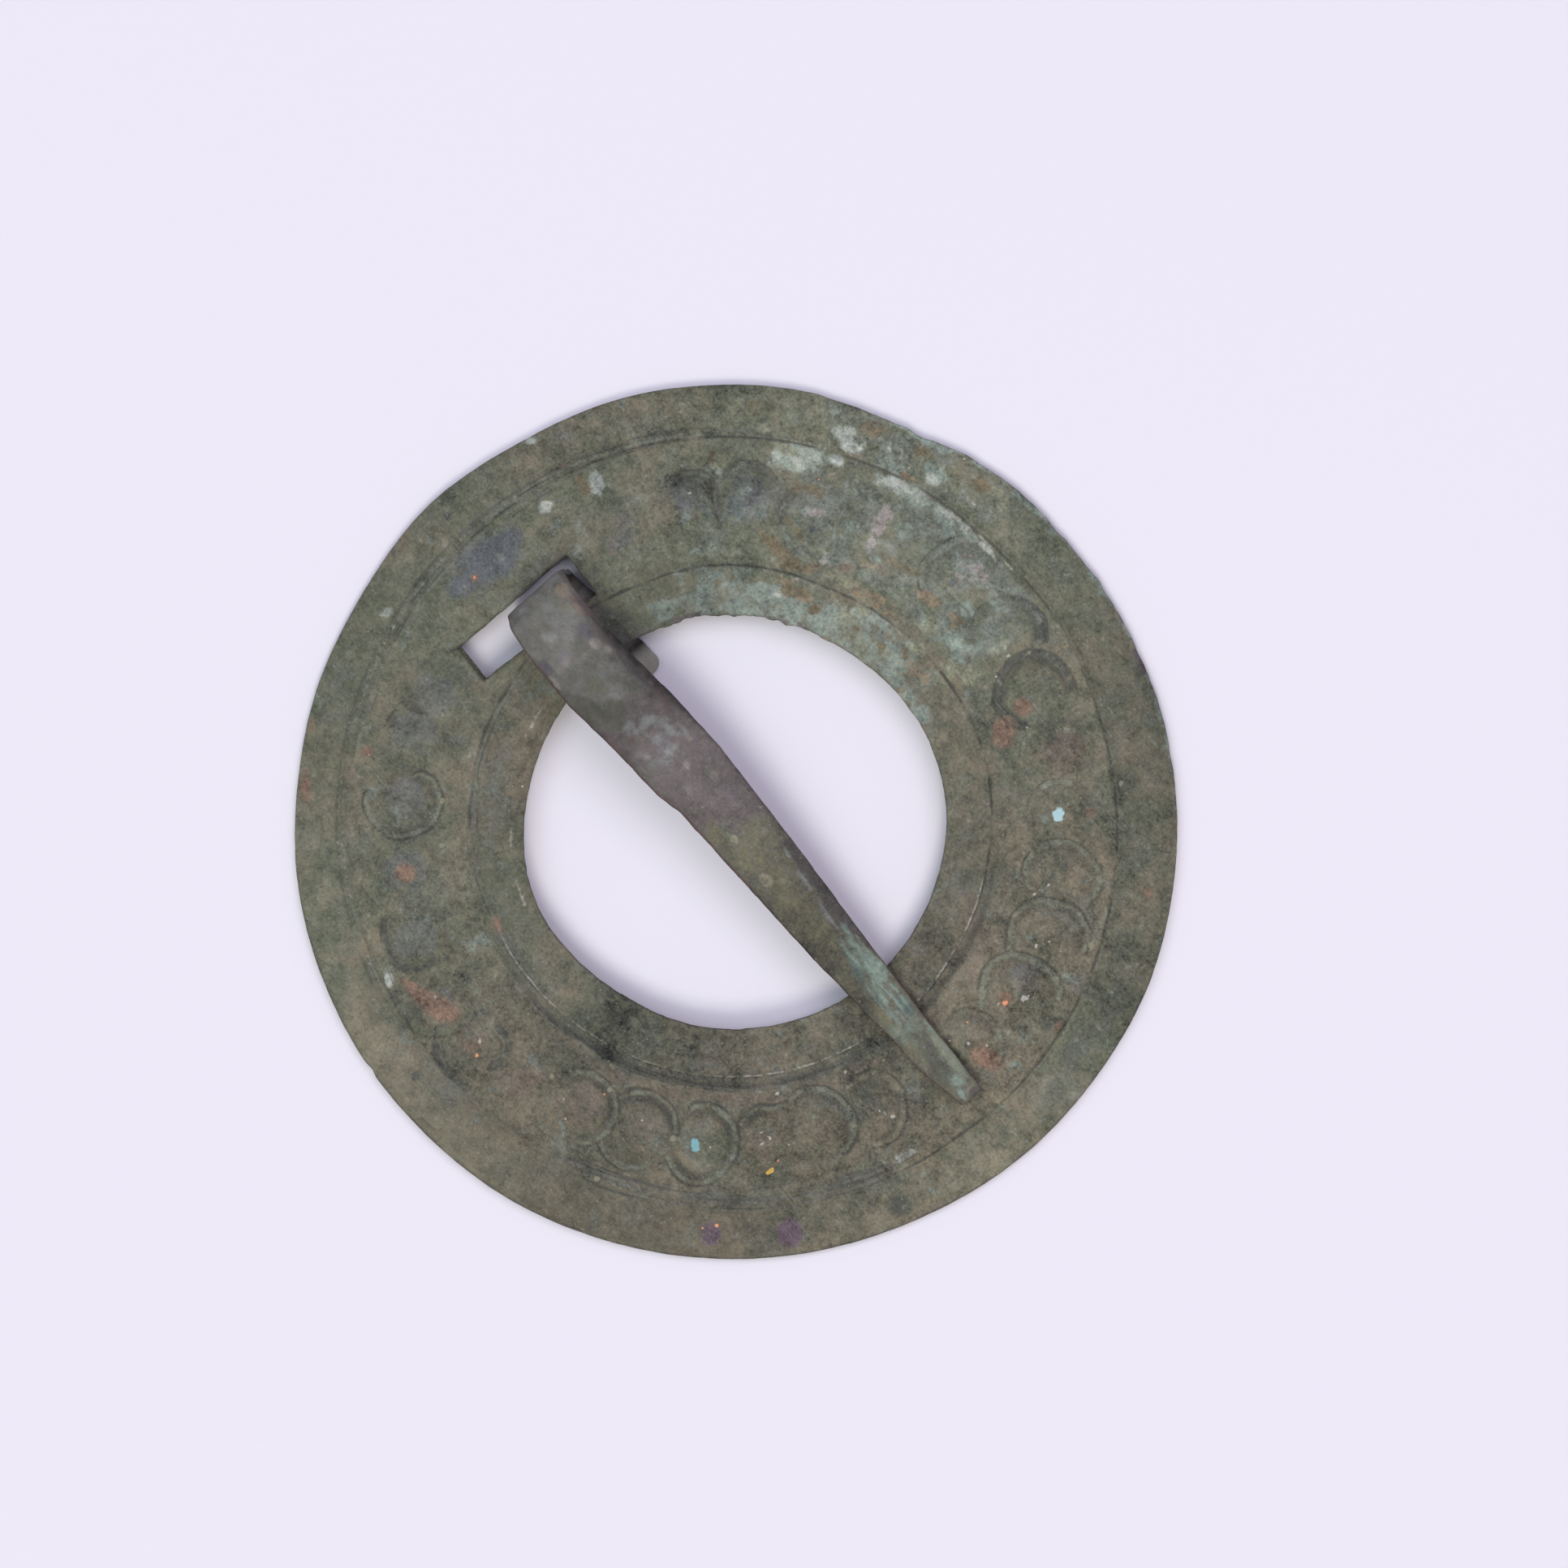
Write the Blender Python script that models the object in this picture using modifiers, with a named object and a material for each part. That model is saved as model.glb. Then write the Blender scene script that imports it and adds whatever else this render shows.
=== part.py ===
"""Ring brooch: a broad flat ring of copper alloy, and a strip pin wrapped round the bar beside its hole.

Blender units are metres, +Z is up. The brooch lies face up: the underside of the ring's brim is the
plane z = 0, +X runs along the pin from its hinge to its tip, and the origin is under the ring's middle.
The ring is one piece of sheet. The pin is one strip, folded down through the slot, under the bar and
back a little way into the hole, so it swings about the bar.
"""

import math

import bmesh
import bpy
from mathutils import Matrix, Vector

MM = 0.001

# Ring, all in millimetres
RING_RADIUS = 25.0
HOLE_RADIUS = 11.85
SHEET = 0.80  # thickness of the ring's metal
BRIM_INNER = 22.15  # the plain brim is flat outside this radius
STEP_HEIGHT = 0.16  # small raised edge where the brim meets the stamped zone
STEP_WIDTH = 0.32
LINE_DEPTH = 0.12  # the scored line inside the stamped zone
LINE_RADIUS = 14.55
DISH = 1.00  # how far the middle of the ring stands above its brim
PLATEAU_RADIUS = 15.7  # inside this radius the sheet is level again
EDGE_BREAK = 0.10  # worn corner of the sheet's cut edges
TURN_STEPS = 96

# The ring was cut by hand, so both edges wander. Each wave is (lobes, height, direction in degrees).
OUTER_WAVES = ((2, 0.156, 74.0), (3, 0.121, 109.0), (4, 0.025, -112.0), (7, 0.035, -86.0), (8, 0.034, 64.0))
HOLE_WAVES = ((1, 0.058, 155.0), (2, 0.138, 102.0), (3, 0.062, 88.0), (4, 0.106, -93.0))
DENT_DIRECTION = 115.5  # a shallow nick in the rim
DENT_DEPTH = 0.30
DENT_HALF_ANGLE = 4.0

# Slot for the pin, a little wider at one end
SLOT_OUTER_X = -17.77
SLOT_INNER_X = -15.24
SLOT_LEFT_Y = -5.78
SLOT_RIGHT_Y = 2.17
SLOT_FLARE = 0.24  # how much longer the right end is than the left, shared by both sides

# Bosses punched up from behind, in one row that stops short of the slot
BOSS_ROW_RADIUS = 18.70
BOSS_FIRST_ANGLE = 206.3
BOSS_PITCH = 10.87
BOSS_COUNT = 30
BOSS_RADIUS = 1.50
BOSS_HEIGHT = 0.40
BOSS_UNDER_PIN = (14,)  # the pin lies over this one, which is pressed flat
PRESSED_HEIGHT = 0.10
BOSS_ROW_WAVES = ((2, 0.45, 153.0), (3, 0.17, 34.0), (4, 0.14, 29.0))  # the row isn't quite concentric
BOSS_ANGLE_WAVES = ((2, 0.6, 52.0), (3, 0.8, 174.0), (4, 0.8, -23.0), (5, 1.1, 160.0))  # nor quite even

# Pin
STRIP = 0.45  # thickness of the pin's strip
LEG_X = -17.10  # middle of the strip where it goes down through the slot
TAB_END_X = -9.60
TAB_Z = 0.27
FOOT_BEND = 0.70
HEAD_BEND = 1.30
PIN_SLOPE = 4.3  # degrees, falling towards the tip
REST_X = 14.4  # the pin's underside is nearest the ring here
REST_Z = SHEET + DISH + 0.42
TIP_X = 20.55
TAB_WIDTH = 4.10
TAB_SKEW = 6.7  # degrees that the folded-under part turns aside
LEG_SHIFT = 0.22
TAB_CORNER = 0.80
TIP_CORNER = 0.18
EDGE_ROUND = 0.05
# (distance along X, left edge, right edge) of the strip seen from above, head to tip
PIN_PLAN = (
    (-17.4, -2.42, 1.64),
    (-16.4, -2.88, 1.42),
    (-14.2, -3.08, 1.36),
    (-11.0, -3.06, 1.58),
    (-8.0, -2.66, 1.90),
    (-4.0, -2.36, 2.14),
    (-2.4, -1.98, 2.10),
    (3.0, -1.68, 1.97),
    (8.7, -1.38, 1.72),
    (12.7, -1.02, 1.59),
    (14.6, -0.84, 1.50),
    (17.9, -0.62, 1.45),
    (20.6, -0.05, 1.44),
)

# Hinge: the axis lies in the pin's loop, over the bar's edge along the hole, so the loop clears the bar
HINGE_X = -12.60
HINGE_Z = 2.30


def waves(angle, terms):
    """Sum of (lobes, height, direction) cosines at this angle in degrees."""
    return sum(h * math.cos(math.radians(k * angle - d)) for k, h, d in terms)


def smooth(t):
    t = min(1.0, max(0.0, t))
    return t * t * (3 - 2 * t)


def underside(r):
    """Height of the sheet's underside at this radius."""
    step = STEP_HEIGHT * smooth((BRIM_INNER - r) / STEP_WIDTH)
    run = BRIM_INNER - STEP_WIDTH - PLATEAU_RADIUS
    rise = (BRIM_INNER - STEP_WIDTH - r) / run
    return step + (DISH - STEP_HEIGHT) * math.sin(math.pi / 2 * min(1.0, max(0.0, rise)))


def topside(r):
    return underside(r) + SHEET


def link(obj, collection):
    collection.objects.link(obj)
    return obj


def mesh_object(name, mesh, collection):
    return link(bpy.data.objects.new(name, mesh), collection)


def metal(name, color, roughness):
    material = bpy.data.materials.new(name)
    material.use_nodes = True
    shader = material.node_tree.nodes["Principled BSDF"]
    shader.inputs["Base Color"].default_value = (*color, 1.0)
    shader.inputs["Roughness"].default_value = roughness
    shader.inputs["Metallic"].default_value = 0.25
    material.diffuse_color = (*color, 1.0)
    return material


def evaluated_mesh(obj):
    graph = bpy.context.evaluated_depsgraph_get()
    return bpy.data.meshes.new_from_object(obj.evaluated_get(graph), depsgraph=graph)


def profile_points():
    """The sheet's section, down its outer edge, inwards below and outwards above."""
    outer, hole = RING_RADIUS, HOLE_RADIUS
    stations = [BRIM_INNER, BRIM_INNER - STEP_WIDTH, 20.2, 18.6, 17.1, PLATEAU_RADIUS]
    points = [(outer, SHEET - EDGE_BREAK), (outer, EDGE_BREAK), (outer - EDGE_BREAK, 0.0)]
    points += [(r, underside(r)) for r in stations]
    points += [(hole + EDGE_BREAK, underside(hole)), (hole, underside(hole) + EDGE_BREAK)]
    points += [(hole, topside(hole) - EDGE_BREAK), (hole + EDGE_BREAK, topside(hole))]
    points += [
        (LINE_RADIUS - 0.16, topside(LINE_RADIUS)),
        (LINE_RADIUS, topside(LINE_RADIUS) - LINE_DEPTH),
        (LINE_RADIUS + 0.30, topside(LINE_RADIUS + 0.30)),
    ]
    points += [(r, topside(r)) for r in reversed(stations)]
    points += [(outer - EDGE_BREAK, SHEET)]
    return points


def make_blank(collection):
    """The turned sheet with its hand-cut outlines, before the slot and the bosses."""
    points = profile_points()
    mesh = bpy.data.meshes.new("ring_profile")
    mesh.from_pydata(
        [(r * MM, 0.0, z * MM) for r, z in points],
        [(i, (i + 1) % len(points)) for i in range(len(points))],
        [],
    )
    profile = mesh_object("ring_profile", mesh, collection)
    screw = profile.modifiers.new("Turn", "SCREW")
    screw.axis = "Z"
    screw.angle = 2 * math.pi
    screw.steps = screw.render_steps = TURN_STEPS
    screw.use_merge_vertices = True
    screw.merge_threshold = 1e-6
    screw.use_normal_calculate = True
    turned = evaluated_mesh(profile)
    turned.name = "ring_blank"
    bpy.data.objects.remove(profile)

    shape = bmesh.new()
    shape.from_mesh(turned)
    bmesh.ops.remove_doubles(shape, verts=shape.verts, dist=1e-7)
    bmesh.ops.recalc_face_normals(shape, faces=shape.faces)
    for vertex in shape.verts:
        radius = math.hypot(vertex.co.x, vertex.co.y) / MM
        angle = math.degrees(math.atan2(vertex.co.y, vertex.co.x))
        share = (radius - HOLE_RADIUS) / (RING_RADIUS - HOLE_RADIUS)
        off = (angle - DENT_DIRECTION + 180) % 360 - 180
        dent = DENT_DEPTH * math.exp(-((off / DENT_HALF_ANGLE) ** 2)) * smooth((radius - 23) / 2)
        moved = waves(angle, OUTER_WAVES) * share + waves(angle, HOLE_WAVES) * (1 - share) - dent
        scale = (radius + moved) / radius
        vertex.co.x *= scale
        vertex.co.y *= scale
    shape.to_mesh(turned)
    shape.free()
    return turned


def make_slot_cutter(collection):
    """A four-sided prism with a taper along the slot, through the sheet with room to spare."""
    shape = bmesh.new()
    bmesh.ops.create_cube(shape, size=2.0)
    for vertex in shape.verts:
        right = vertex.co.y > 0
        side = SLOT_FLARE / 2 * (1 if right else -1) * (1 if vertex.co.x > 0 else -1)
        x = (SLOT_INNER_X if vertex.co.x > 0 else SLOT_OUTER_X) + side
        y = SLOT_RIGHT_Y if right else SLOT_LEFT_Y
        vertex.co = Vector((x, y, 4.0 if vertex.co.z > 0 else -2.0)) * MM
    mesh = bpy.data.meshes.new("slot_cutter")
    shape.to_mesh(mesh)
    shape.free()
    return helper(mesh_object("slot_cutter", mesh, collection))


def helper(obj):
    obj.hide_render = True
    obj.display_type = "WIRE"
    return obj


def boss_place(i):
    """(angle in degrees, row radius) of boss i, counted from the slot's right end round to its left."""
    even = BOSS_FIRST_ANGLE + BOSS_PITCH * i
    angle = even + waves(even, BOSS_ANGLE_WAVES)
    return angle, BOSS_ROW_RADIUS + waves(angle, BOSS_ROW_WAVES)


def make_bosses(collection):
    """Low domes with a flat foot sunk in the sheet, tilted with the slope that they stand on."""
    shape = bmesh.new()
    for i in range(BOSS_COUNT):
        angle, row = boss_place(i)
        height = PRESSED_HEIGHT if i in BOSS_UNDER_PIN else BOSS_HEIGHT
        slope = math.atan2(topside(row + 0.5) - topside(row - 0.5), 1.0)
        made = bmesh.ops.create_uvsphere(shape, u_segments=12, v_segments=8, radius=1.0)["verts"]
        place = (
            Matrix.Rotation(math.radians(angle), 4, "Z")
            @ Matrix.Translation((row * MM, 0, (topside(row) - 0.06) * MM))
            @ Matrix.Rotation(-slope, 4, "Y")
        )
        for vertex in made:
            z = vertex.co.z * (height + 0.06) if vertex.co.z > 0 else max(vertex.co.z * 0.5, -0.22)
            if vertex.co.z < -0.99:
                z = -0.24
            flat = Vector((vertex.co.x * BOSS_RADIUS, vertex.co.y * BOSS_RADIUS, z))
            vertex.co = place @ (flat * MM)
    mesh = bpy.data.meshes.new("bosses")
    shape.to_mesh(mesh)
    shape.free()
    return helper(mesh_object("bosses", mesh, collection))


def fillet_path(corners, radii, arc_step=12.0):
    """Points in the XZ plane along straight runs joined by arcs of the given radii."""
    corners = [Vector((x, 0, z)) for x, z in corners]
    points = [corners[0]]
    for before, corner, after, radius in zip(corners, corners[1:], corners[2:], radii):
        back, ahead = (before - corner).normalized(), (after - corner).normalized()
        half = back.angle(ahead) / 2
        centre = corner + (back + ahead).normalized() * (radius / math.sin(half))
        start = corner + back * (radius / math.tan(half)) - centre
        end = corner + ahead * (radius / math.tan(half)) - centre
        steps = max(3, round(math.degrees(math.pi - 2 * half) / arc_step))
        points += [centre + start.slerp(end, k / steps).normalized() * radius for k in range(steps + 1)]
    points.append(corners[-1])
    return points


def spread(points, longest):
    """The same path with its long runs cut into equal pieces."""
    out = [points[0]]
    for point in points[1:]:
        start = out[-1]
        pieces = max(1, math.ceil((point - start).length / longest))
        out += [start.lerp(point, k / pieces) for k in range(1, pieces + 1)]
    return out


def plan_edges(x):
    """Left and right edge of the strip at this X, by straight interpolation between stations."""
    x = min(PIN_PLAN[-1][0], max(PIN_PLAN[0][0], x))
    for (x0, l0, r0), (x1, l1, r1) in zip(PIN_PLAN, PIN_PLAN[1:]):
        if x <= x1:
            t = (x - x0) / (x1 - x0)
            return l0 + (l1 - l0) * t, r0 + (r1 - r0) * t
    return PIN_PLAN[-1][1:]


def corner_cut(distance, radius):
    """How far a rounded corner pulls the edge in, this far from the strip's end."""
    if distance >= radius:
        return 0.0
    return radius - math.sqrt(max(0.0, radius**2 - (radius - distance) ** 2))


def make_pin(collection):
    rest_line = REST_Z + STRIP / 2
    height = lambda x: rest_line + (REST_X - x) * math.tan(math.radians(PIN_SLOPE))
    path = fillet_path(
        ((TAB_END_X, TAB_Z), (LEG_X, TAB_Z), (LEG_X, height(LEG_X)), (TIP_X, height(TIP_X))),
        (FOOT_BEND, HEAD_BEND),
    )
    # Extra rows where the two ends are rounded
    first, last = path[0], path[-1]
    inward, outward = (path[1] - first).normalized(), (path[-2] - last).normalized()
    path = (
        [first + inward * TAB_CORNER * e for e in (0.0, 0.2, 0.5, 1.0)]
        + path[1:-1]
        + [last + outward * TIP_CORNER * e for e in (1.0, 0.4, 0.0)]
    )
    path = spread(path, 1.6)

    travelled, length = [0.0], 0.0
    for a, b in zip(path, path[1:]):
        length += (b - a).length
        travelled.append(length)
    shoulder = height(LEG_X) - HEAD_BEND
    top_start = next(i for i, p in enumerate(path) if p.z > shoulder)

    shape = bmesh.new()
    rows = []
    for i, (point, run) in enumerate(zip(path, travelled)):
        if i >= top_start:
            left, right = plan_edges(point.x)
            pull = corner_cut(length - run, TIP_CORNER)
        else:
            # The folded part keeps the head's width and turns aside as it goes under the bar
            head_left, head_right = plan_edges(LEG_X)
            climb = smooth((point.z - TAB_Z) / (shoulder - TAB_Z))
            aside = LEG_SHIFT + math.tan(math.radians(TAB_SKEW)) * (point.x - LEG_X)
            middle = (head_left + head_right) / 2
            left = (head_left) * climb + (middle + aside - TAB_WIDTH / 2) * (1 - climb)
            right = (head_right) * climb + (middle + aside + TAB_WIDTH / 2) * (1 - climb)
            pull = corner_cut(run, TAB_CORNER)
        left, right = left + pull, right - pull
        rows.append([shape.verts.new(Vector((point.x, y, point.z)) * MM) for y in (left, (left + right) / 2, right)])
    for low, high in zip(rows, rows[1:]):
        for k in range(2):
            shape.faces.new((low[k], low[k + 1], high[k + 1], high[k]))
    bmesh.ops.recalc_face_normals(shape, faces=shape.faces)
    # The object's origin is on its hinge
    hinge = Vector((HINGE_X, 0.0, HINGE_Z)) * MM
    bmesh.ops.translate(shape, verts=shape.verts, vec=-hinge)
    mesh = bpy.data.meshes.new("pin")
    shape.to_mesh(mesh)
    shape.free()
    pin = mesh_object("pin", mesh, collection)
    pin.location = hinge
    solid = pin.modifiers.new("Strip", "SOLIDIFY")
    solid.thickness = STRIP * MM
    solid.offset = 0.0
    solid.use_even_offset = True
    edge = pin.modifiers.new("Edges", "BEVEL")
    edge.width = EDGE_ROUND * MM
    edge.segments = 1
    edge.limit_method = "ANGLE"
    edge.angle_limit = math.radians(50)
    return pin


def main():
    for obj in list(bpy.data.objects):
        bpy.data.objects.remove(obj)
    parts = bpy.data.collections.new("ring_brooch")
    cutters = bpy.data.collections.new("cutters")
    for collection in (parts, cutters):
        bpy.context.scene.collection.children.link(collection)

    ring = mesh_object("ring_plate", make_blank(cutters), parts)
    cut = ring.modifiers.new("Slot", "BOOLEAN")
    cut.operation, cut.object = "DIFFERENCE", make_slot_cutter(cutters)
    raised = ring.modifiers.new("Bosses", "BOOLEAN")
    raised.operation, raised.object = "UNION", make_bosses(cutters)
    pin = make_pin(parts)

    ring.data.materials.append(metal("ring_bronze", (0.115, 0.112, 0.072), 0.62))
    pin.data.materials.append(metal("pin_bronze", (0.125, 0.112, 0.085), 0.58))
    for obj in (ring, pin):
        obj.data.shade_smooth()
        obj.data.set_sharp_from_angle(angle=math.radians(35))


main()
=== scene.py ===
"""The looks of a flat ring brooch of copper alloy: a worn, patinated ring with stamped bosses and curls, and its strip pin.

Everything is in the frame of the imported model: +X along the pin from its hinge to its tip, +Z up, and the
origin under the ring's middle. Sizes in the tables are millimetres and degrees.
"""

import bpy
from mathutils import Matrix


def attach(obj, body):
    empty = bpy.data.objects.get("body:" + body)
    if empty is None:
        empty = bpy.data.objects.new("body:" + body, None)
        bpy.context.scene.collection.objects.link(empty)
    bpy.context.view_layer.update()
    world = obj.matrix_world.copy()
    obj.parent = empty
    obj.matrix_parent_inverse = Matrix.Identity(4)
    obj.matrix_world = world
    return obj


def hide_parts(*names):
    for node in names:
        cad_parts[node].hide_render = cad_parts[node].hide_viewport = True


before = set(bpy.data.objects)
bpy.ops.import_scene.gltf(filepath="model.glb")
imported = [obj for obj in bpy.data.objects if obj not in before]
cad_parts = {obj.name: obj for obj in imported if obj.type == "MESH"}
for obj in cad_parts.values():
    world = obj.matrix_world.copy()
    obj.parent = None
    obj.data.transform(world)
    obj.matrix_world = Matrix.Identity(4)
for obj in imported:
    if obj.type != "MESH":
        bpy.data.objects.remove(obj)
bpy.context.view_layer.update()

import math

import bpy
import numpy as np
from mathutils import Vector

MM = 0.001

# ---------------------------------------------------------------- sizes shared with the solid model, mm
RING_RADIUS = 24.998
HOLE_RADIUS = 11.836
SHEET = 0.80
BRIM_INNER = 22.15
STEP_HEIGHT = 0.16
STEP_WIDTH = 0.32
DISH = 1.00
PLATEAU_RADIUS = 15.7
OUTER_WAVES = (
    (2, 0.156, 74), (3, 0.121, 108.9), (4, 0.025, -111.7), (5, 0.023, 79.4), (6, 0.016, 113.1), (7, 0.035, -86.2),
    (8, 0.034, 63.9), (9, 0.025, -165.3), (10, 0.026, -29.7), (11, 0.014, -7.9), (12, 0.019, 81.6), (13, 0.026, -112.4),
    (14, 0.024, 46.7),
)
HOLE_WAVES = ((1, 0.058, 155), (2, 0.138, 101.9), (3, 0.062, 88.4), (4, 0.106, -92.8), (5, 0.029, 130.7), (6, 0.029, 69), (7, 0.019, -12.5))
SLOT = ((-17.65, -5.74), (-15.34, -5.74), (-15.12, 2.17), (-17.88, 2.17))

BOSS_HEIGHT = 0.40
BOSS_RADIUS = 1.78
# (angle, row radius, share of the full height that wear has left)
BOSSES = (
    (9.06, 18.37, 0.80), (21.75, 18.63, 1.00), (32.67, 18.83, 1.00), (42.71, 19.00, 0.80), (52.80, 18.49, 0.70),
    (63.33, 18.92, 0.75), (75.31, 18.67, 1.00), (86.63, 18.90, 1.00), (97.40, 19.41, 0.80), (107.08, 19.45, 0.35),
    (115.07, 19.03, 0.25), (127.41, 18.32, 0.50), (138.52, 18.52, 0.75), (149.86, 18.74, 0.60), (162.92, 18.12, 0.35),
    (207.49, 18.61, 0.35), (215.04, 18.95, 0.55), (226.62, 18.75, 0.75), (239.28, 18.89, 0.45), (250.68, 19.18, 0.60),
    (262.24, 19.84, 0.50), (271.74, 19.16, 0.80), (280.98, 19.29, 0.60), (292.36, 18.47, 1.00), (303.56, 18.15, 0.95),
    (315.37, 18.34, 1.00), (326.43, 18.06, 1.00), (337.18, 18.05, 1.00), (346.81, 18.55, 0.85), (356.48, 18.13, 0.22),
)

STRIP = 0.45
LEG_X = -17.10
TAB_END_X = -9.60
TAB_Z = 0.27
FOOT_BEND = 0.70
HEAD_BEND = 1.30
PIN_SLOPE = 4.3
REST_X = 14.4
REST_Z = SHEET + DISH + 0.42
TIP_X = 20.55
TAB_WIDTH = 4.10
TAB_SKEW = 6.7
LEG_SHIFT = 0.22
TAB_CORNER = 0.80
TIP_CORNER = 0.18
PIN_PLAN = (
    (-17.4, -2.42, 1.64), (-16.4, -2.88, 1.42), (-14.2, -3.08, 1.36), (-11.0, -3.06, 1.58), (-8.0, -2.66, 1.90),
    (-4.0, -2.36, 2.14), (-2.4, -1.98, 2.10), (3.0, -1.68, 1.97), (8.7, -1.38, 1.72), (12.7, -1.02, 1.59),
    (14.6, -0.84, 1.50), (17.9, -0.62, 1.45), (20.6, -0.05, 1.44),
)

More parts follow.
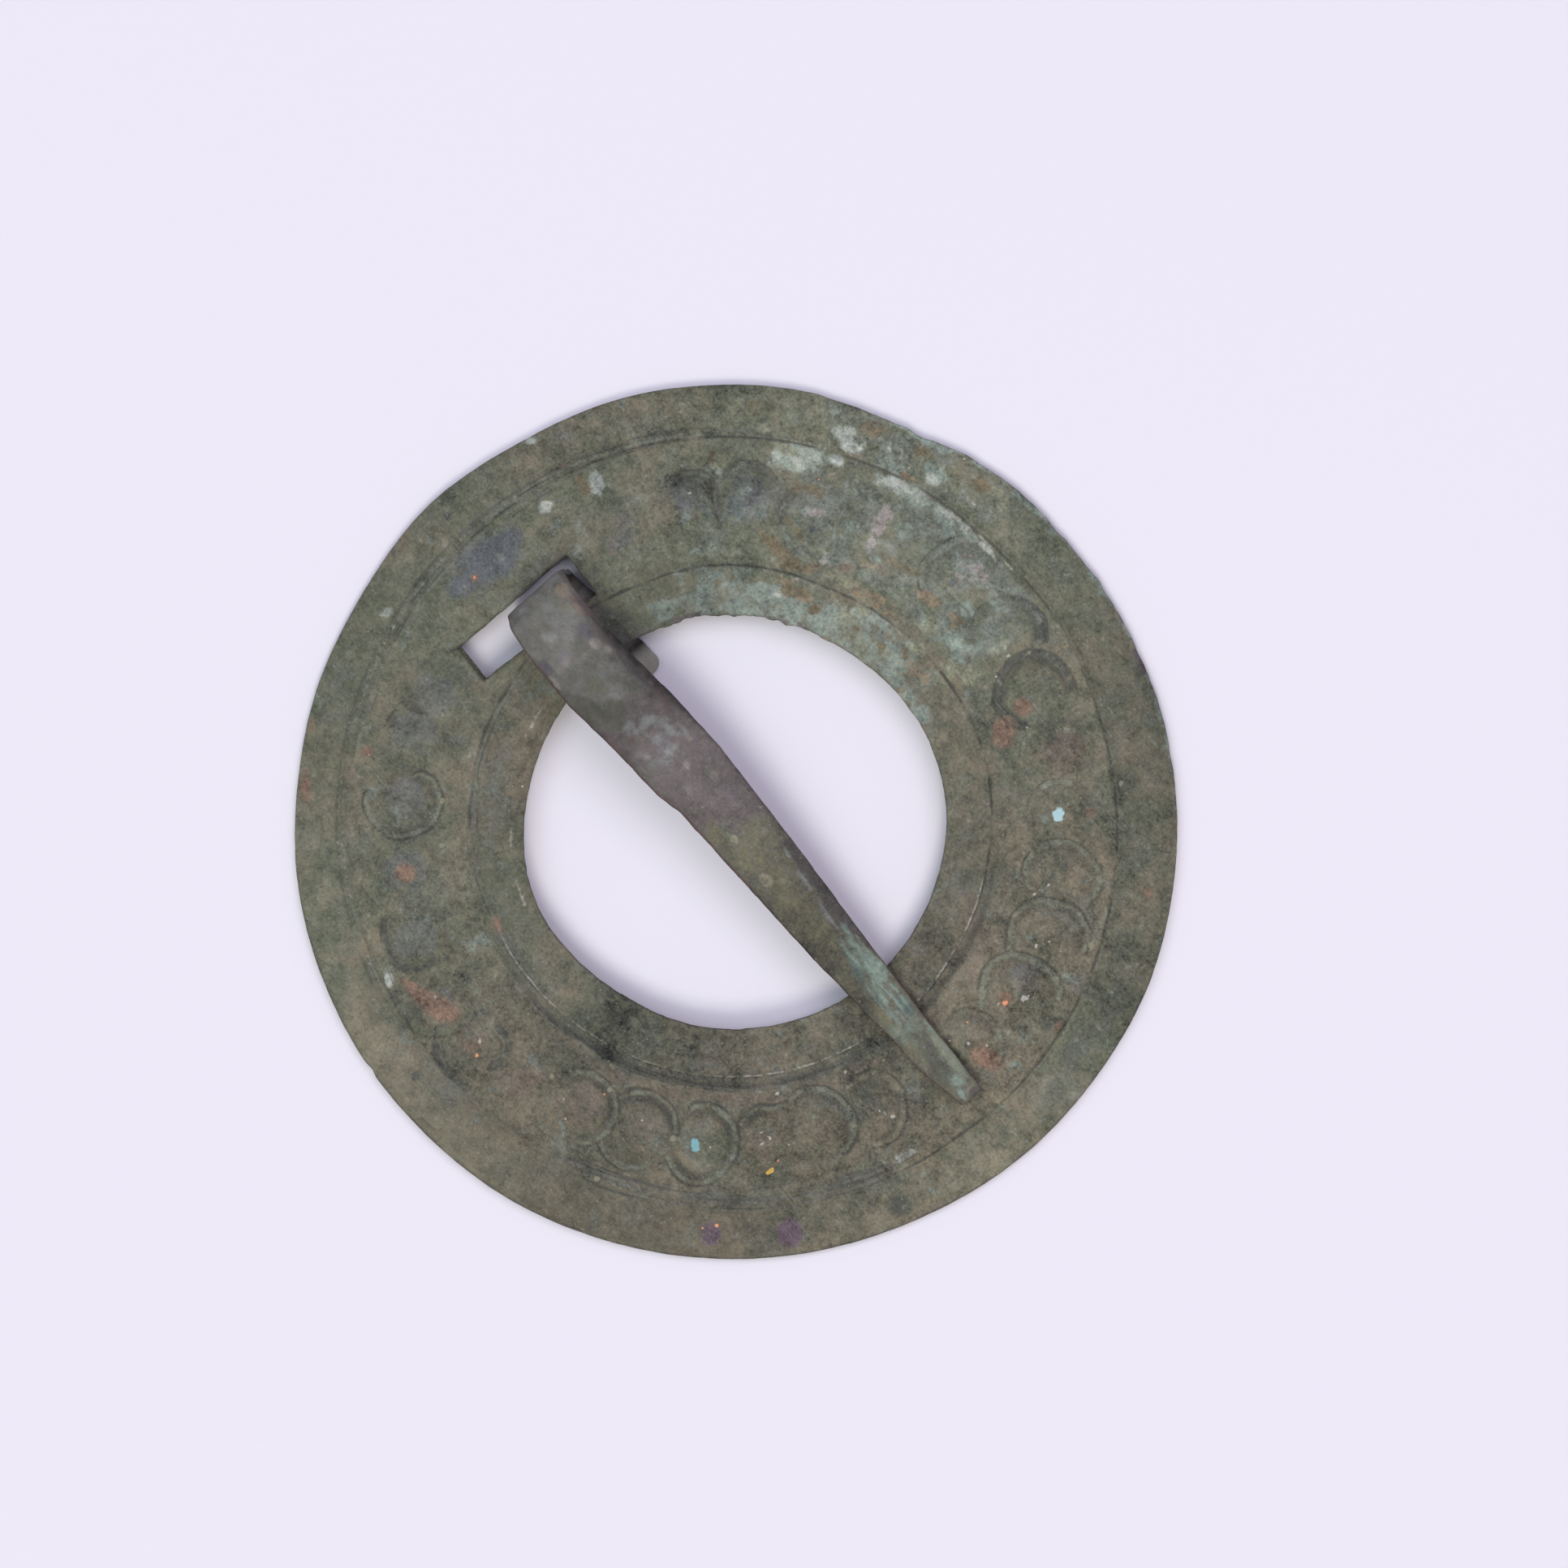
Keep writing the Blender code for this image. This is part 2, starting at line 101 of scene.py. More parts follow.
# ---------------------------------------------------------------- stamped curls, stains, painted shadow and scored lines
# MARKS: (boss, width of the light band, strength, tint, edge line as (direction from the boss, distance) pairs).
# PATCHES: ellipses (x, y, half length, half width, turn, strength). SECTORS: (from angle, to angle, from radius,
# to radius, strength). The two LINES are (angle, radius).
MARKS = (
    (0, 0.46, 0.60, "green", ((-10, 2.17), (9.3, 2.03), (31.2, 1.81), (52.2, 1.66), (74.3, 1.57), (101.3, 1.57), (123.8, 1.66), (143.9, 1.79), (166.4, 1.93), (190.3, 1.97), (211.1, 2.06))),
    (1, 0.65, 1.00, "green", ((25.7, 2.55), (36.3, 2.55), (47.8, 2.43), (61, 2.2), (75.6, 1.98), (93.8, 1.86), (114.4, 1.75), (139.5, 1.79), (165.9, 2.01), (183.4, 2.12), (201, 2.25), (219.7, 2.36), (235.3, 2.47), (251.3, 2.66), (265.6, 2.92))),
    (2, 0.65, 1.00, "green", ((13, 2.57), (26, 2.54), (42, 2.43), (59, 2.23), (79.1, 2.04), (99.8, 1.85), (124.3, 1.69), (151.3, 1.79), (176, 1.98), (195, 2.13), (212.3, 2.29), (227.4, 2.39), (244.4, 2.53), (262.7, 2.9))),
    (3, 0.55, 0.80, "green", ((0.8, 2.3), (23.1, 2.29), (44.6, 2.18), (74, 1.86), (114.2, 1.75), (152, 1.92), (178.9, 2.1), (203, 2.35), (221.4, 2.48), (241.9, 2.46), (260.1, 2.38))),
    (4, 0.51, 0.60, "green", ((86.5, 2.05), (110.6, 2.02), (137.2, 1.98), (160.7, 2.03), (181.1, 1.97), (202.6, 1.93), (216.6, 1.91), (244.5, 1.99))),
    (5, 0.46, 0.45, "green", ((3, 1.94), (26.6, 2.03), (53.4, 1.99), (77.8, 1.92), (101.9, 1.77), (133.9, 1.57), (166.5, 1.58), (191.4, 2.02), (207.6, 2.2), (226.4, 2.31), (243.5, 2.36))),
    (6, 0.74, 1.00, "dark", ((47.1, 2.57), (68.1, 2.33), (90.8, 2.29), (120.4, 2.26), (143.1, 2.21), (162.8, 2.21), (187.6, 2.14), (209.1, 2.15), (233.3, 2.3), (250, 2.5), (266.5, 2.54), (279.6, 2.46), (297.5, 2.42), (311.6, 2.32))),
    (7, 0.68, 0.95, "dark", ((33.7, 2.52), (46.6, 2.51), (69.9, 2.4), (90.6, 2.23), (111.2, 2.07), (128, 1.97))),
    (7, 0.30, 0.60, "moss", ((124, 1.99), (149, 1.91), (179.5, 1.91), (207.5, 1.92), (228.2, 1.89), (251.3, 1.86))),
    (11, 0.30, 0.80, "dark", ((175, 1.62), (197, 1.56), (215, 1.67), (241, 1.78), (258, 1.72))),
    (12, 0.40, 0.60, "dark", ((80, 1.95), (105, 2.05), (133, 2.2), (163, 2.25))),
    (8, 0.74, 0.80, "green", ((-213.5, 2.32), (-190.7, 2.41), (-171.9, 2.51), (-155.7, 2.68), (-139, 2.94), (-127.3, 2.99), (-112.9, 2.97))),
    (12, 0.42, 0.55, "dark", ((7.7, 2.28), (24.5, 2.27), (46.3, 2.23), (67.6, 2.27), (87.8, 2.31))),
    (12, 0.52, 1.00, "dark", ((-171.4, 2.55), (-154.9, 2.35), (-131.8, 2.07), (-102.6, 2.06), (-81.6, 2.24))),
    (13, 0.40, 0.75, "dark", ((66, 1.75), (81, 2.0), (102, 1.95), (125, 1.7), (154, 1.55), (185, 1.6))),
    (14, 0.42, 0.35, "green", ((108, 2.98), (122.4, 2.49), (142.1, 2.08), (169.1, 1.95), (195.9, 2.02), (223.3, 2.14), (246.4, 2.39))),
    (15, 0.26, 1.00, "dark", ((-122.4, 1.95), (-109.9, 1.81), (-92.8, 1.55), (-75.2, 1.34), (-53.6, 1.12))),
    (16, 0.28, 0.60, "dark", ((-181.9, 1.69), (-169.7, 1.71), (-156.9, 1.69), (-147.1, 1.66))),
    (17, 0.51, 1.00, "green", ((-139.8, 2.49), (-126, 2.5), (-108.1, 2.44), (-92.3, 2.38), (-75.3, 2.34), (-59.7, 2.36), (-45.9, 2.32), (-30.6, 2.19), (-15.2, 2.17), (2.5, 2.16), (23.8, 2.12), (44.9, 2.18), (65.3, 2.05), (86.8, 2.05), (105.7, 1.92), (124.5, 1.64))),
    (18, 0.46, 0.50, "dark", ((-153.7, 1.89), (-129.2, 1.67), (-104.2, 1.64), (-82.1, 1.64), (-55.9, 1.64), (-31.7, 1.72))),
    (19, 0.55, 0.60, "dark", ((-161.6, 2.41), (-142.6, 2.19), (-124, 2.04), (-104.5, 1.98), (-77.2, 2.1), (-57.7, 2.04), (-36.5, 1.94), (-12, 1.81), (11.3, 1.73))),
    (20, 0.78, 0.90, "moss", ((-136.3, 2.23), (-124, 2.04), (-104.4, 1.98), (-83.3, 1.99), (-68.3, 1.9), (-52, 1.87), (-34.8, 1.8), (-18.4, 1.82), (5.8, 1.93), (27, 2.12), (41.7, 2.29))),
    (21, 0.60, 0.80, "dark", ((-21, 1.6), (2.8, 1.67), (29.5, 1.78), (49.4, 1.79), (66.4, 1.72), (85.6, 1.62), (105.2, 1.65))),
    (21, 0.55, 0.70, "dark", ((-132, 2.69), (-120.4, 2.76), (-106.5, 2.76), (-91.1, 2.7), (-76.1, 2.54))),
    (23, 0.60, 0.90, "green", ((-46.7, 2.14), (-31.9, 2.16), (-14.3, 2.18), (-2.1, 2.14), (13.5, 2.18), (39.5, 2.21), (63.7, 2.3), (76.6, 2.35), (91.1, 2.29), (107, 2.31), (124, 2.36), (136.5, 2.34), (149.9, 2.38))),
    (23, 0.46, 0.60, "green", ((-125.9, 2.45), (-115.9, 2.61), (-104, 2.6), (-92.8, 2.41), (-78.3, 2.2))),
    (24, 0.51, 1.00, "green", ((39.9, 2.21), (56.6, 2.24), (72.2, 2.27), (87.7, 2.3), (103.1, 2.29), (120.3, 2.31), (138.8, 2.3), (157.4, 2.3))),
    (24, 0.55, 0.80, "green", ((-113, 2.52), (-98.9, 2.63), (-83.8, 2.61), (-68.1, 2.59), (-51.1, 2.48), (-33.7, 2.37), (-21.7, 2.23))),
    (25, 0.60, 0.95, "green", ((-114.1, 2.39), (-94.6, 2.36), (-75.3, 2.43), (-55.8, 2.43), (-39.9, 2.35), (-22.3, 2.22), (-2.4, 2.07), (20.1, 1.98), (41.6, 2), (62.5, 2.07), (81.3, 2.19), (99.3, 2.28), (114.4, 2.37), (127.8, 2.42), (141, 2.44), (153.9, 2.49), (163, 2.34))),
    (26, 0.62, 0.95, "green", ((112.1, 2.57), (122.6, 2.18), (139.8, 2.07), (158.3, 2.03), (181.3, 1.93), (202.6, 1.84))),
    (26, 0.46, 0.55, "moss", ((-57.4, 2.67), (-42.2, 2.73), (-22.9, 2.79), (-7.7, 2.82), (5.7, 2.74))),
    (27, 0.55, 0.95, "green", ((-2.2, 1.91), (17.3, 1.93), (38.2, 1.93), (57.5, 1.94), (76.7, 1.99), (95.5, 2.03), (112.7, 2.14), (128.7, 2.3), (146.6, 2.52), (162.9, 2.63), (176.4, 2.71), (186.1, 2.67), (194.8, 2.57))),
    (28, 0.60, 0.90, "olive", ((-48, 1.82), (-21.4, 1.65), (5.6, 1.63), (32.8, 1.64), (58.5, 1.72), (81.1, 1.92), (98.6, 2.21), (113.5, 2.44), (129.4, 2.65), (145.1, 2.77), (159.8, 2.73), (176.1, 2.65), (186.8, 2.58), (195, 2.43))),
    (29, 0.37, 0.60, "dark", ((-183.4, 2.38), (-172.4, 2.41), (-161, 2.34), (-152.3, 2.21))),
)
PATCHES = {
    "pale": (
        (-12.85, 18.80, 0.92, 0.64, 20, 1), (-13.7, 15.6, 0.5, 0.3, 50, 0.5), (-13.1, 16.8, 0.6, 0.28, 50, 0.5), (-9.4, 19.25, 0.9, 0.34, 30, 0.66), (-8.1, 19.6, 0.7, 0.42, 20, 0.7), (-10.6, 20.9, 0.16, 0.14, 0, 0.9), (-11.0, 20.3, 0.14, 0.2, 0, 0.8), (-10.2, 20.6, 0.2, 0.12, 0, 0.8), (-5.2, 23.2, 0.22, 0.18, 0, 0.6), (-5.5, 22.0, 0.18, 0.22, 0, 0.5), (-12.45, 17.54, 0.46, 0.32, 21, 0.95),
        (-20.00, 6.13, 0.42, 0.78, 61, 1), (-20.75, 2.94, 0.42, 0.37, 51, 1), (-24.40, 4.66, 0.42, 0.28, 51, 0.8), (-21.83, -7.60, 0.46, 0.28, 81, 0.7),
        (-6.04, 20.53, 0.65, 0.18, 13, 0.9), (-4.75, 20.79, 0.65, 0.23, 11, 1), (-3.36, 20.97, 0.69, 0.18, 6, 0.9), (-2.25, 21.01, 0.55, 0.14, 1, 0.6),
        (-8.48, 13.36, 0.23, 0.51, 31, 0.7), (20.68, -4.53, 0.83, 0.28, 76, 0.7), (20.30, -5.65, 0.46, 0.23, 81, 0.5), (-8.11, 21.20, 0.55, 0.37, 21, 0.55),
        (-21.61, -0.16, 0.37, 0.28, 51, 0.5), (-5.50, -20.93, 0.28, 0.42, 51, 0.8), (-15.23, -11.84, 0.42, 0.32, 51, 0.4), (1.9, 18.1, 0.6, 0.5, 51, 0.26),
        (-5.39, 12.69, 0.83, 0.28, 23, 0.5), (-14.22, 15.65, 0.28, 0.18, 51, 0.9), (-8.44, 10.47, 0.83, 0.14, 56, 0.5), (-9.46, 21.65, 0.46, 0.18, 21, 0.6),
        (-11.13, 14.56, 0.51, 0.37, 51, 0.5), (-2.71, 19.72, 0.65, 0.46, 81, 0.4), (-10.18, 20.33, 0.32, 0.28, 51, 0.55), (-9.93, 21.08, 0.28, 0.23, 51, 0.45),
        (-10.86, 20.23, 0.23, 0.23, 51, 0.5), (-7.88, 22.50, 0.28, 0.23, 51, 0.4),
    ),
    "turq": (
        (-10.0, 22.45, 1.0, 0.34, 25, 1), (-9.1, 22.65, 0.5, 0.26, 20, 1), (-8.4, 21.25, 0.85, 0.42, 8, 0.95), (-0.5, 16.2, 2.1, 0.52, 25, 0.80), (-14.3, 12.1, 0.5, 0.5, 0, 0.7), (-4.0, 24.3, 0.9, 0.2, 5, 0.95),
        (-1.1, 17.95, 0.5, 0.4, 0, 1), (1.7, 12.3, 0.5, 0.45, 0, 0.8), (-14.8, 19.3, 0.7, 0.4, 40, 0.45), (-3.9, 18.9, 0.3, 0.9, 0, 0.5),
        (-7.82, 19.72, 0.78, 0.51, 21, 1), (-6.02, 20.04, 1.01, 0.37, 13, 0.7), (-1.09, 17.76, 0.32, 0.55, 61, 1), (0.29, 16.10, 0.51, 0.83, 51, 0.8),
        (-1.37, 16.25, 0.65, 0.37, 21, 0.6), (-5.01, 19.81, 0.74, 0.46, 16, 0.6), (-10.14, 19.94, 1.38, 0.83, 21, 0.6), (-7.81, 21.49, 0.65, 0.46, 21, 0.6),
        (-13.18, 8.67, 0.92, 0.65, 51, 0.5), (-15.27, 8.95, 0.60, 0.42, 51, 0.4), (-18.17, 6.85, 0.83, 0.42, 51, 0.4), (-18.55, 3.83, 0.55, 0.46, 51, 0.5),
        (-17.92, 2.84, 0.42, 0.46, 51, 0.45), (-3.75, -15.64, 0.51, 0.92, 21, 0.5), (-6.77, -16.93, 0.42, 0.37, 51, 0.45), (-13.76, 15.93, 1.66, 0.65, 39, 0.7),
        (-3.39, 13.62, 1.20, 0.37, 16, 0.8), (-1.17, 13.42, 0.83, 1.01, 21, 0.75), (0.70, 13.68, 0.55, 0.74, 31, 0.5), (-3.06, 11.98, 0.74, 0.37, 21, 0.6),
        (-8.71, 14.68, 0.46, 1.11, 51, 0.45), (-8.86, 15.81, 0.55, 0.46, 51, 0.4), (-7.05, 17.67, 0.46, 0.74, 51, 0.5), (7.12, 23.62, 0.23, 0.65, 31, 0.6),
        (-9.43, 22.57, 0.74, 0.23, 21, 1), (-0.55, 19.45, 0.46, 0.65, 51, 0.5), (-3.14, 19.18, 0.65, 0.83, 71, 0.5), (-20.55, -13.93, 0.14, 0.83, 71, 0.5),
        (11.01, 13.92, 0.32, 0.32, 51, 0.3), (21.74, -4.32, 0.92, 0.46, 71, 0.3), (19.62, 5.13, 1.01, 0.74, 71, 0.5), (19.28, 3.62, 0.55, 0.74, 51, 0.4),
    ),
    "rust": (
        (-2.49, -19.64, 1.11, 0.60, 21, 1), (-3.56, -20.01, 0.55, 0.46, 21, 1), (-4.31, -20.12, 0.37, 0.32, 6, 0.95), (-4.86, -20.21, 0.28, 0.18, 11, 0.85),
        (5.42, 15.31, 0.60, 0.60, 51, 1), (5.90, 14.80, 0.60, 0.42, 51, 0.75), (5.16, 16.89, 0.46, 0.46, 51, 0.95), (12.23, 16.08, 0.37, 0.37, 51, 0.45),
        (19.38, 2.72, 0.92, 0.55, 21, 0.95), (17.43, 5.66, 0.37, 0.42, 51, 1), (20.58, 6.97, 0.18, 0.37, 31, 0.8), (-9.62, -16.27, 0.55, 0.48, 51, 1),
        (-16.39, -13.63, 0.32, 0.32, 51, 0.7), (-4.04, -14.09, 0.23, 0.46, 66, 0.75), (-20.17, -2.70, 0.18, 0.23, 51, 1), (-22.04, 5.24, 0.23, 0.14, 31, 0.9),
        (-17.02, -17.68, 0.30, 0.85, 51, 0.85), (-19.6, -15.1, 0.16, 0.5, 40, 0.6), (17.87, 15.78, 0.23, 0.32, 51, 0.8), (-11.94, 18.61, 0.37, 0.09, 46, 0.4), (0.38, -19.47, 0.55, 0.42, 51, 0.45),
        (3.83, -18.30, 0.74, 0.55, 51, 0.3), (-7.36, 14.00, 0.65, 0.28, 51, 0.35),
    ),
    "ochre": (
        (-3.06, 16.65, 0.85, 0.42, 20, 1), (-1.2, 17.1, 0.7, 0.26, 20, 0.8), (-5.4, 14.15, 1.7, 0.26, 22, 0.72), (-0.2, 13.5, 1.5, 0.42, 8, 0.62), (-6.6, 15.1, 0.7, 0.35, 20, 0.5), (-10.6, 12.0, 1.4, 0.34, 4, 0.5), (-9.2, 20.05, 0.48, 0.22, 15, 1), (-9.01, 20.09, 0.42, 0.18, 26, 1), (-5.66, 13.68, 0.65, 0.18, 23, 0.9), (-4.81, 14.00, 0.65, 0.23, 19, 0.95),
        (-3.85, 14.23, 0.46, 0.23, 16, 0.7), (-9.55, 11.31, 0.65, 0.46, 51, 0.55), (-8.74, 11.13, 0.37, 0.23, 51, 0.6), (-7.49, 11.13, 0.46, 0.28, 41, 0.9),
        (-6.56, 11.32, 0.32, 0.28, 51, 0.85), (-8.94, 10.82, 0.32, 0.18, 51, 0.8), (-5.98, 16.43, 0.92, 0.28, 21, 0.4), (-10.80, 16.20, 0.65, 0.46, 51, 0.35),
        (-9.76, 21.29, 0.28, 0.37, 51, 0.45), (-0.86, 16.73, 0.46, 0.37, 51, 0.6), (2.49, 16.98, 0.65, 0.37, 51, 0.4), (3.94, 20.74, 0.46, 0.46, 51, 0.5),
        (5.50, 20.30, 0.28, 0.55, 31, 0.5), (-8.96, 12.03, 0.83, 0.55, 51, 0.35),
    ),
    "purple": (
        (17.28, -15.80, 0.55, 0.65, 51, 1), (20.03, -12.27, 0.74, 0.83, 51, 1),
    ),
    "dark": (
        # The first three patches, and those at (-13.33, 1.90) and (-16.24, 3.08), lie on the ring beside the pin's
        # head: painted shadow of the pin
        (-13.0, 1.82, 1.6, 0.42, 2, 1.0), (-12.5, 2.45, 1.1, 0.45, 0, 0.5), (-15.6, 2.55, 1.2, 0.16, 0, 0.6),
        (-10.9, 20.65, 1.0, 0.55, 20, 0.62), (-15.9, 12.6, 0.24, 1.0, 8, 0.75), (-12.6, 13.9, 0.25, 0.8, -20, 0.6), (-11.9, 15.0, 0.8, 0.3, 30, 0.5), (-2.8, 18.2, 0.25, 0.25, 0, 0.7), (-4.4, 18.3, 0.2, 0.9, -8, 0.5), (1.9, 12.05, 0.5, 0.2, 0, 0.5),
        (-9.8, 22.85, 0.6, 0.12, 28, 0.6), (-5.5, 19.0, 0.35, 0.6, 0, 0.4), (-6.6, 17.2, 0.4, 0.9, 20, 0.35), (-14.6, 14.6, 0.9, 0.4, 30, 0.4),
        (22.84, -6.40, 0.74, 0.55, 41, 0.85), (21.61, -7.63, 0.18, 0.18, 51, 0.9), (22.60, 6.39, 1.01, 0.83, 11, 0.5), (23.29, 4.53, 0.65, 0.42, 11, 0.45),
        (-0.29, -23.15, 0.42, 0.28, 41, 0.85), (-2.97, -21.69, 0.46, 1.01, 26, 0.5), (3.15, -17.53, 0.18, 0.14, 51, 0.95), (3.23, -18.02, 0.14, 0.18, 51, 0.85),
        (2.46, 20.52, 0.37, 0.69, 51, 0.9), (-14.15, 12.67, 1.20, 0.74, 51, 0.45), (-13.15, 13.83, 0.65, 0.92, 51, 0.5), (-16.62, 10.22, 1.11, 0.55, 51, 0.45),
        (-13.33, 1.90, 0.92, 0.51, 11, 0.7), (-16.24, 3.08, 0.46, 0.55, 51, 0.5), (20.03, 6.59, 0.42, 0.32, 51, 0.6), (16.41, 7.03, 1.01, 0.37, 71, 0.3),
        (2.36, -22.45, 1.20, 0.37, 21, 0.35), (5.87, -20.55, 1.38, 0.37, 23, 0.3), (12.45, -17.57, 1.57, 0.28, 36, 0.4), (16.59, -13.51, 2.77, 0.23, 51, 0.5),
        (18.89, -9.73, 1.66, 0.37, 63, 0.35), (-0.66, -17.61, 0.55, 0.55, 51, 0.4), (19.92, 11.72, 0.55, 0.83, 51, 0.35), (-23.91, -1.68, 0.23, 0.23, 51, 1),
        (-23.47, -3.11, 0.23, 0.28, 51, 0.8), (-17.82, -5.45, 0.92, 0.28, 111, 0.3), (-4.84, -21.65, 0.28, 1.01, 31, 0.3), (-5.64, -21.54, 0.23, 0.65, 36, 0.4),
        (11.61, -9.46, 2.77, 0.18, 51, 0.35), (14.12, -5.50, 1.84, 0.18, 65, 0.3), (3.86, -15.34, 1.84, 0.18, 16, 0.3), (21.04, 7.84, 0.46, 1.11, 26, 0.35),
        (22.10, 9.65, 0.74, 1.01, 51, 0.3),
    ),
    "blue": (
        (-20.47, -1.39, 1.94, 1.38, 86, 1), (-20.38, -3.48, 1.01, 0.74, 86, 0.7), (-20.59, 0.07, 0.92, 0.74, 86, 0.6), (-20.63, -11.96, 1.01, 1.01, 51, 0.4),
        (-9.14, -10.13, 0.74, 1.57, 51, 0.35), (-13.34, -12.95, 1.01, 0.65, 51, 0.4), (-15.48, -10.62, 0.92, 0.74, 51, 0.35), (16.88, 7.48, 1.11, 0.60, 51, 0.55),
        (19.51, 9.39, 0.74, 0.83, 51, 0.5), (11.84, 3.97, 0.74, 0.92, 11, 0.55), (15.23, 10.49, 0.65, 0.46, 51, 0.3), (9.52, -9.84, 1.38, 0.37, 51, 0.4),
        (5.87, -20.55, 1.11, 0.46, 31, 0.35), (1.75, -21.96, 1.01, 0.46, 31, 0.4), (16.08, -13.69, 2.77, 0.46, 51, 0.35), (19.66, -7.98, 1.57, 0.37, 66, 0.4),
        (-23.28, 6.13, 1.11, 0.65, 51, 0.35), (16.90, 12.40, 0.37, 1.38, 51, 0.3), (12.06, -12.20, 0.65, 0.46, 51, 0.3), (2.15, 23.50, 0.65, 0.65, 51, 0.25),
        (-4.26, -13.62, 0.37, 1.11, 36, 0.25), (-0.32, -14.63, 0.65, 1.20, 16, 0.3), (11.49, -6.69, 1.38, 0.46, 51, 0.3), (10.67, 7.66, 0.65, 1.38, 51, 0.3),
    ),
    "brown": (
        (7.02, -17.08, 1.57, 1.48, 51, 0.75), (8.62, 17.05, 1.43, 1.38, 51, 0.8), (3.67, -18.94, 1.38, 1.11, 51, 0.7), (0.69, -19.25, 0.92, 0.92, 51, 0.5),
        (15.06, -10.48, 1.01, 1.11, 51, 0.7), (18.10, -4.04, 1.01, 1.01, 51, 0.45), (16.68, -7.04, 0.92, 1.01, 51, 0.5), (10.16, -15.12, 1.20, 1.20, 51, 0.5),
        (8.89, 13.15, 0.65, 2.77, 36, 0.4), (13.19, 7.10, 0.46, 2.31, 71, 0.75), (14.54, 5.10, 0.55, 1.38, 86, 0.6), (18.43, 5.50, 0.74, 0.46, 51, 0.4),
        (15.23, -3.19, 1.38, 0.37, 71, 0.6), (18.79, -1.74, 0.92, 1.38, 61, 0.5), (11.90, -9.99, 2.31, 0.32, 51, 0.6), (7.80, -13.79, 1.66, 0.46, 31, 0.5),
        (13.95, -14.63, 0.92, 0.55, 51, 0.4), (13.26, 15.96, 0.37, 1.11, 51, 0.4), (-15.62, 8.23, 1.20, 1.01, 51, 0.35), (-16.82, 4.92, 1.01, 1.20, 51, 0.5),
        (-16.50, -2.36, 1.38, 0.65, 86, 0.35), (-15.09, -6.48, 1.11, 1.01, 81, 0.45), (6.89, 12.51, 0.74, 1.57, 51, 0.4), (-13.64, -4.69, 0.92, 0.74, 51, 0.35),
        (-5.91, 15.78, 1.20, 0.55, 21, 0.4), (-15.52, -15.05, 0.74, 1.38, 51, 0.35), (-11.09, -19.84, 0.46, 2.31, 51, 0.2), (7.95, 10.16, 0.55, 1.38, 51, 0.3),
        (13.26, -1.59, 1.57, 0.46, 79, 0.35), (8.73, -18.12, 1.84, 0.46, 31, 0.35),
    ),
    "olive": (
        (22.96, -5.01, 2.03, 0.65, 73, 0.7), (21.56, -8.93, 1.84, 0.65, 63, 0.65), (3.72, -23.56, 2.31, 0.74, 13, 0.75), (1.12, -23.82, 1.11, 0.74, 11, 0.6),
        (8.02, -22.29, 2.31, 0.65, 26, 0.6), (12.18, -19.73, 2.31, 0.55, 37, 0.45), (-10.96, -21.13, 0.55, 3.23, 56, 0.55), (-6.15, -23.26, 0.65, 1.84, 31, 0.45),
        (23.42, -1.52, 1.66, 0.55, 83, 0.65), (23.41, 1.75, 1.38, 0.55, 91, 0.5), (-1.59, 24.76, 1.20, 1.38, 6, 0.4), (-5.27, 23.88, 1.84, 0.92, 13, 0.45),
        (-16.85, 16.95, 2.77, 0.65, 51, 0.2), (10.27, 21.06, 0.65, 1.84, 36, 0.3), (19.55, -3.73, 1.11, 0.46, 71, 0.5), (21.54, 2.38, 1.11, 0.55, 89, 0.45),
        (-17.26, 1.83, 1.11, 0.65, 51, 0.2), (-14.57, 4.40, 1.38, 0.83, 51, 0.3), (-13.14, -6.28, 1.11, 1.11, 51, 0.25), (7.60, 19.96, 0.37, 1.38, 31, 0.4),
    ),
    "moss": (
        (-5.85, -18.15, 1.38, 1.84, 51, 0.6), (-1.83, -14.29, 0.83, 2.77, 23, 0.5), (-19.02, -11.31, 1.20, 1.84, 71, 0.35), (-18.25, -14.02, 0.65, 2.31, 61, 0.3),
        (-9.64, -18.05, 1.38, 2.31, 51, 0.4), (-2.72, -18.32, 1.20, 1.38, 51, 0.4), (-18.53, 4.65, 1.84, 1.20, 51, 0.4), (-14.71, 5.70, 2.31, 1.20, 51, 0.4),
        (0.68, -16.33, 1.38, 0.92, 16, 0.4), (17.87, -11.28, 2.31, 0.46, 51, 0.3), (19.24, 7.23, 1.84, 1.38, 51, 0.4), (8.82, 19.27, 0.65, 2.31, 36, 0.35),
        (-16.45, 13.06, 2.77, 0.83, 51, 0.3), (19.99, -6.47, 1.84, 0.55, 66, 0.5), (-17.94, -10.70, 1.38, 1.38, 51, 0.3), (-21.17, 7.98, 2.77, 0.83, 76, 0.25),
        (7.50, -18.90, 2.77, 0.46, 26, 0.2), (19.13, 11.48, 0.74, 1.84, 51, 0.3), (-6.30, -15.41, 0.92, 2.31, 51, 0.4),
    ),
    "pink": (
        (-8.1, 17.3, 1.05, 0.40, 118, 1), (-7.5, 16.2, 0.85, 0.26, 118, 0.8), (-8.13, 17.88, 0.38, 0.26, 51, 0.9), (-2.86, 19.15, 1.1, 0.95, 81, 0.52), (-2.2, 19.85, 0.85, 0.36, -10, 0.75),
        (-10.82, 14.79, 0.60, 0.37, 51, 0.55), (-8.38, 13.33, 0.18, 0.32, 21, 0.7), (-2.13, 19.55, 0.46, 0.46, 51, 0.5), (5.93, -17.33, 0.65, 0.46, 51, 0.25),
        (20.68, 6.95, 0.14, 0.28, 51, 0.7),
    ),
    "lichen": (
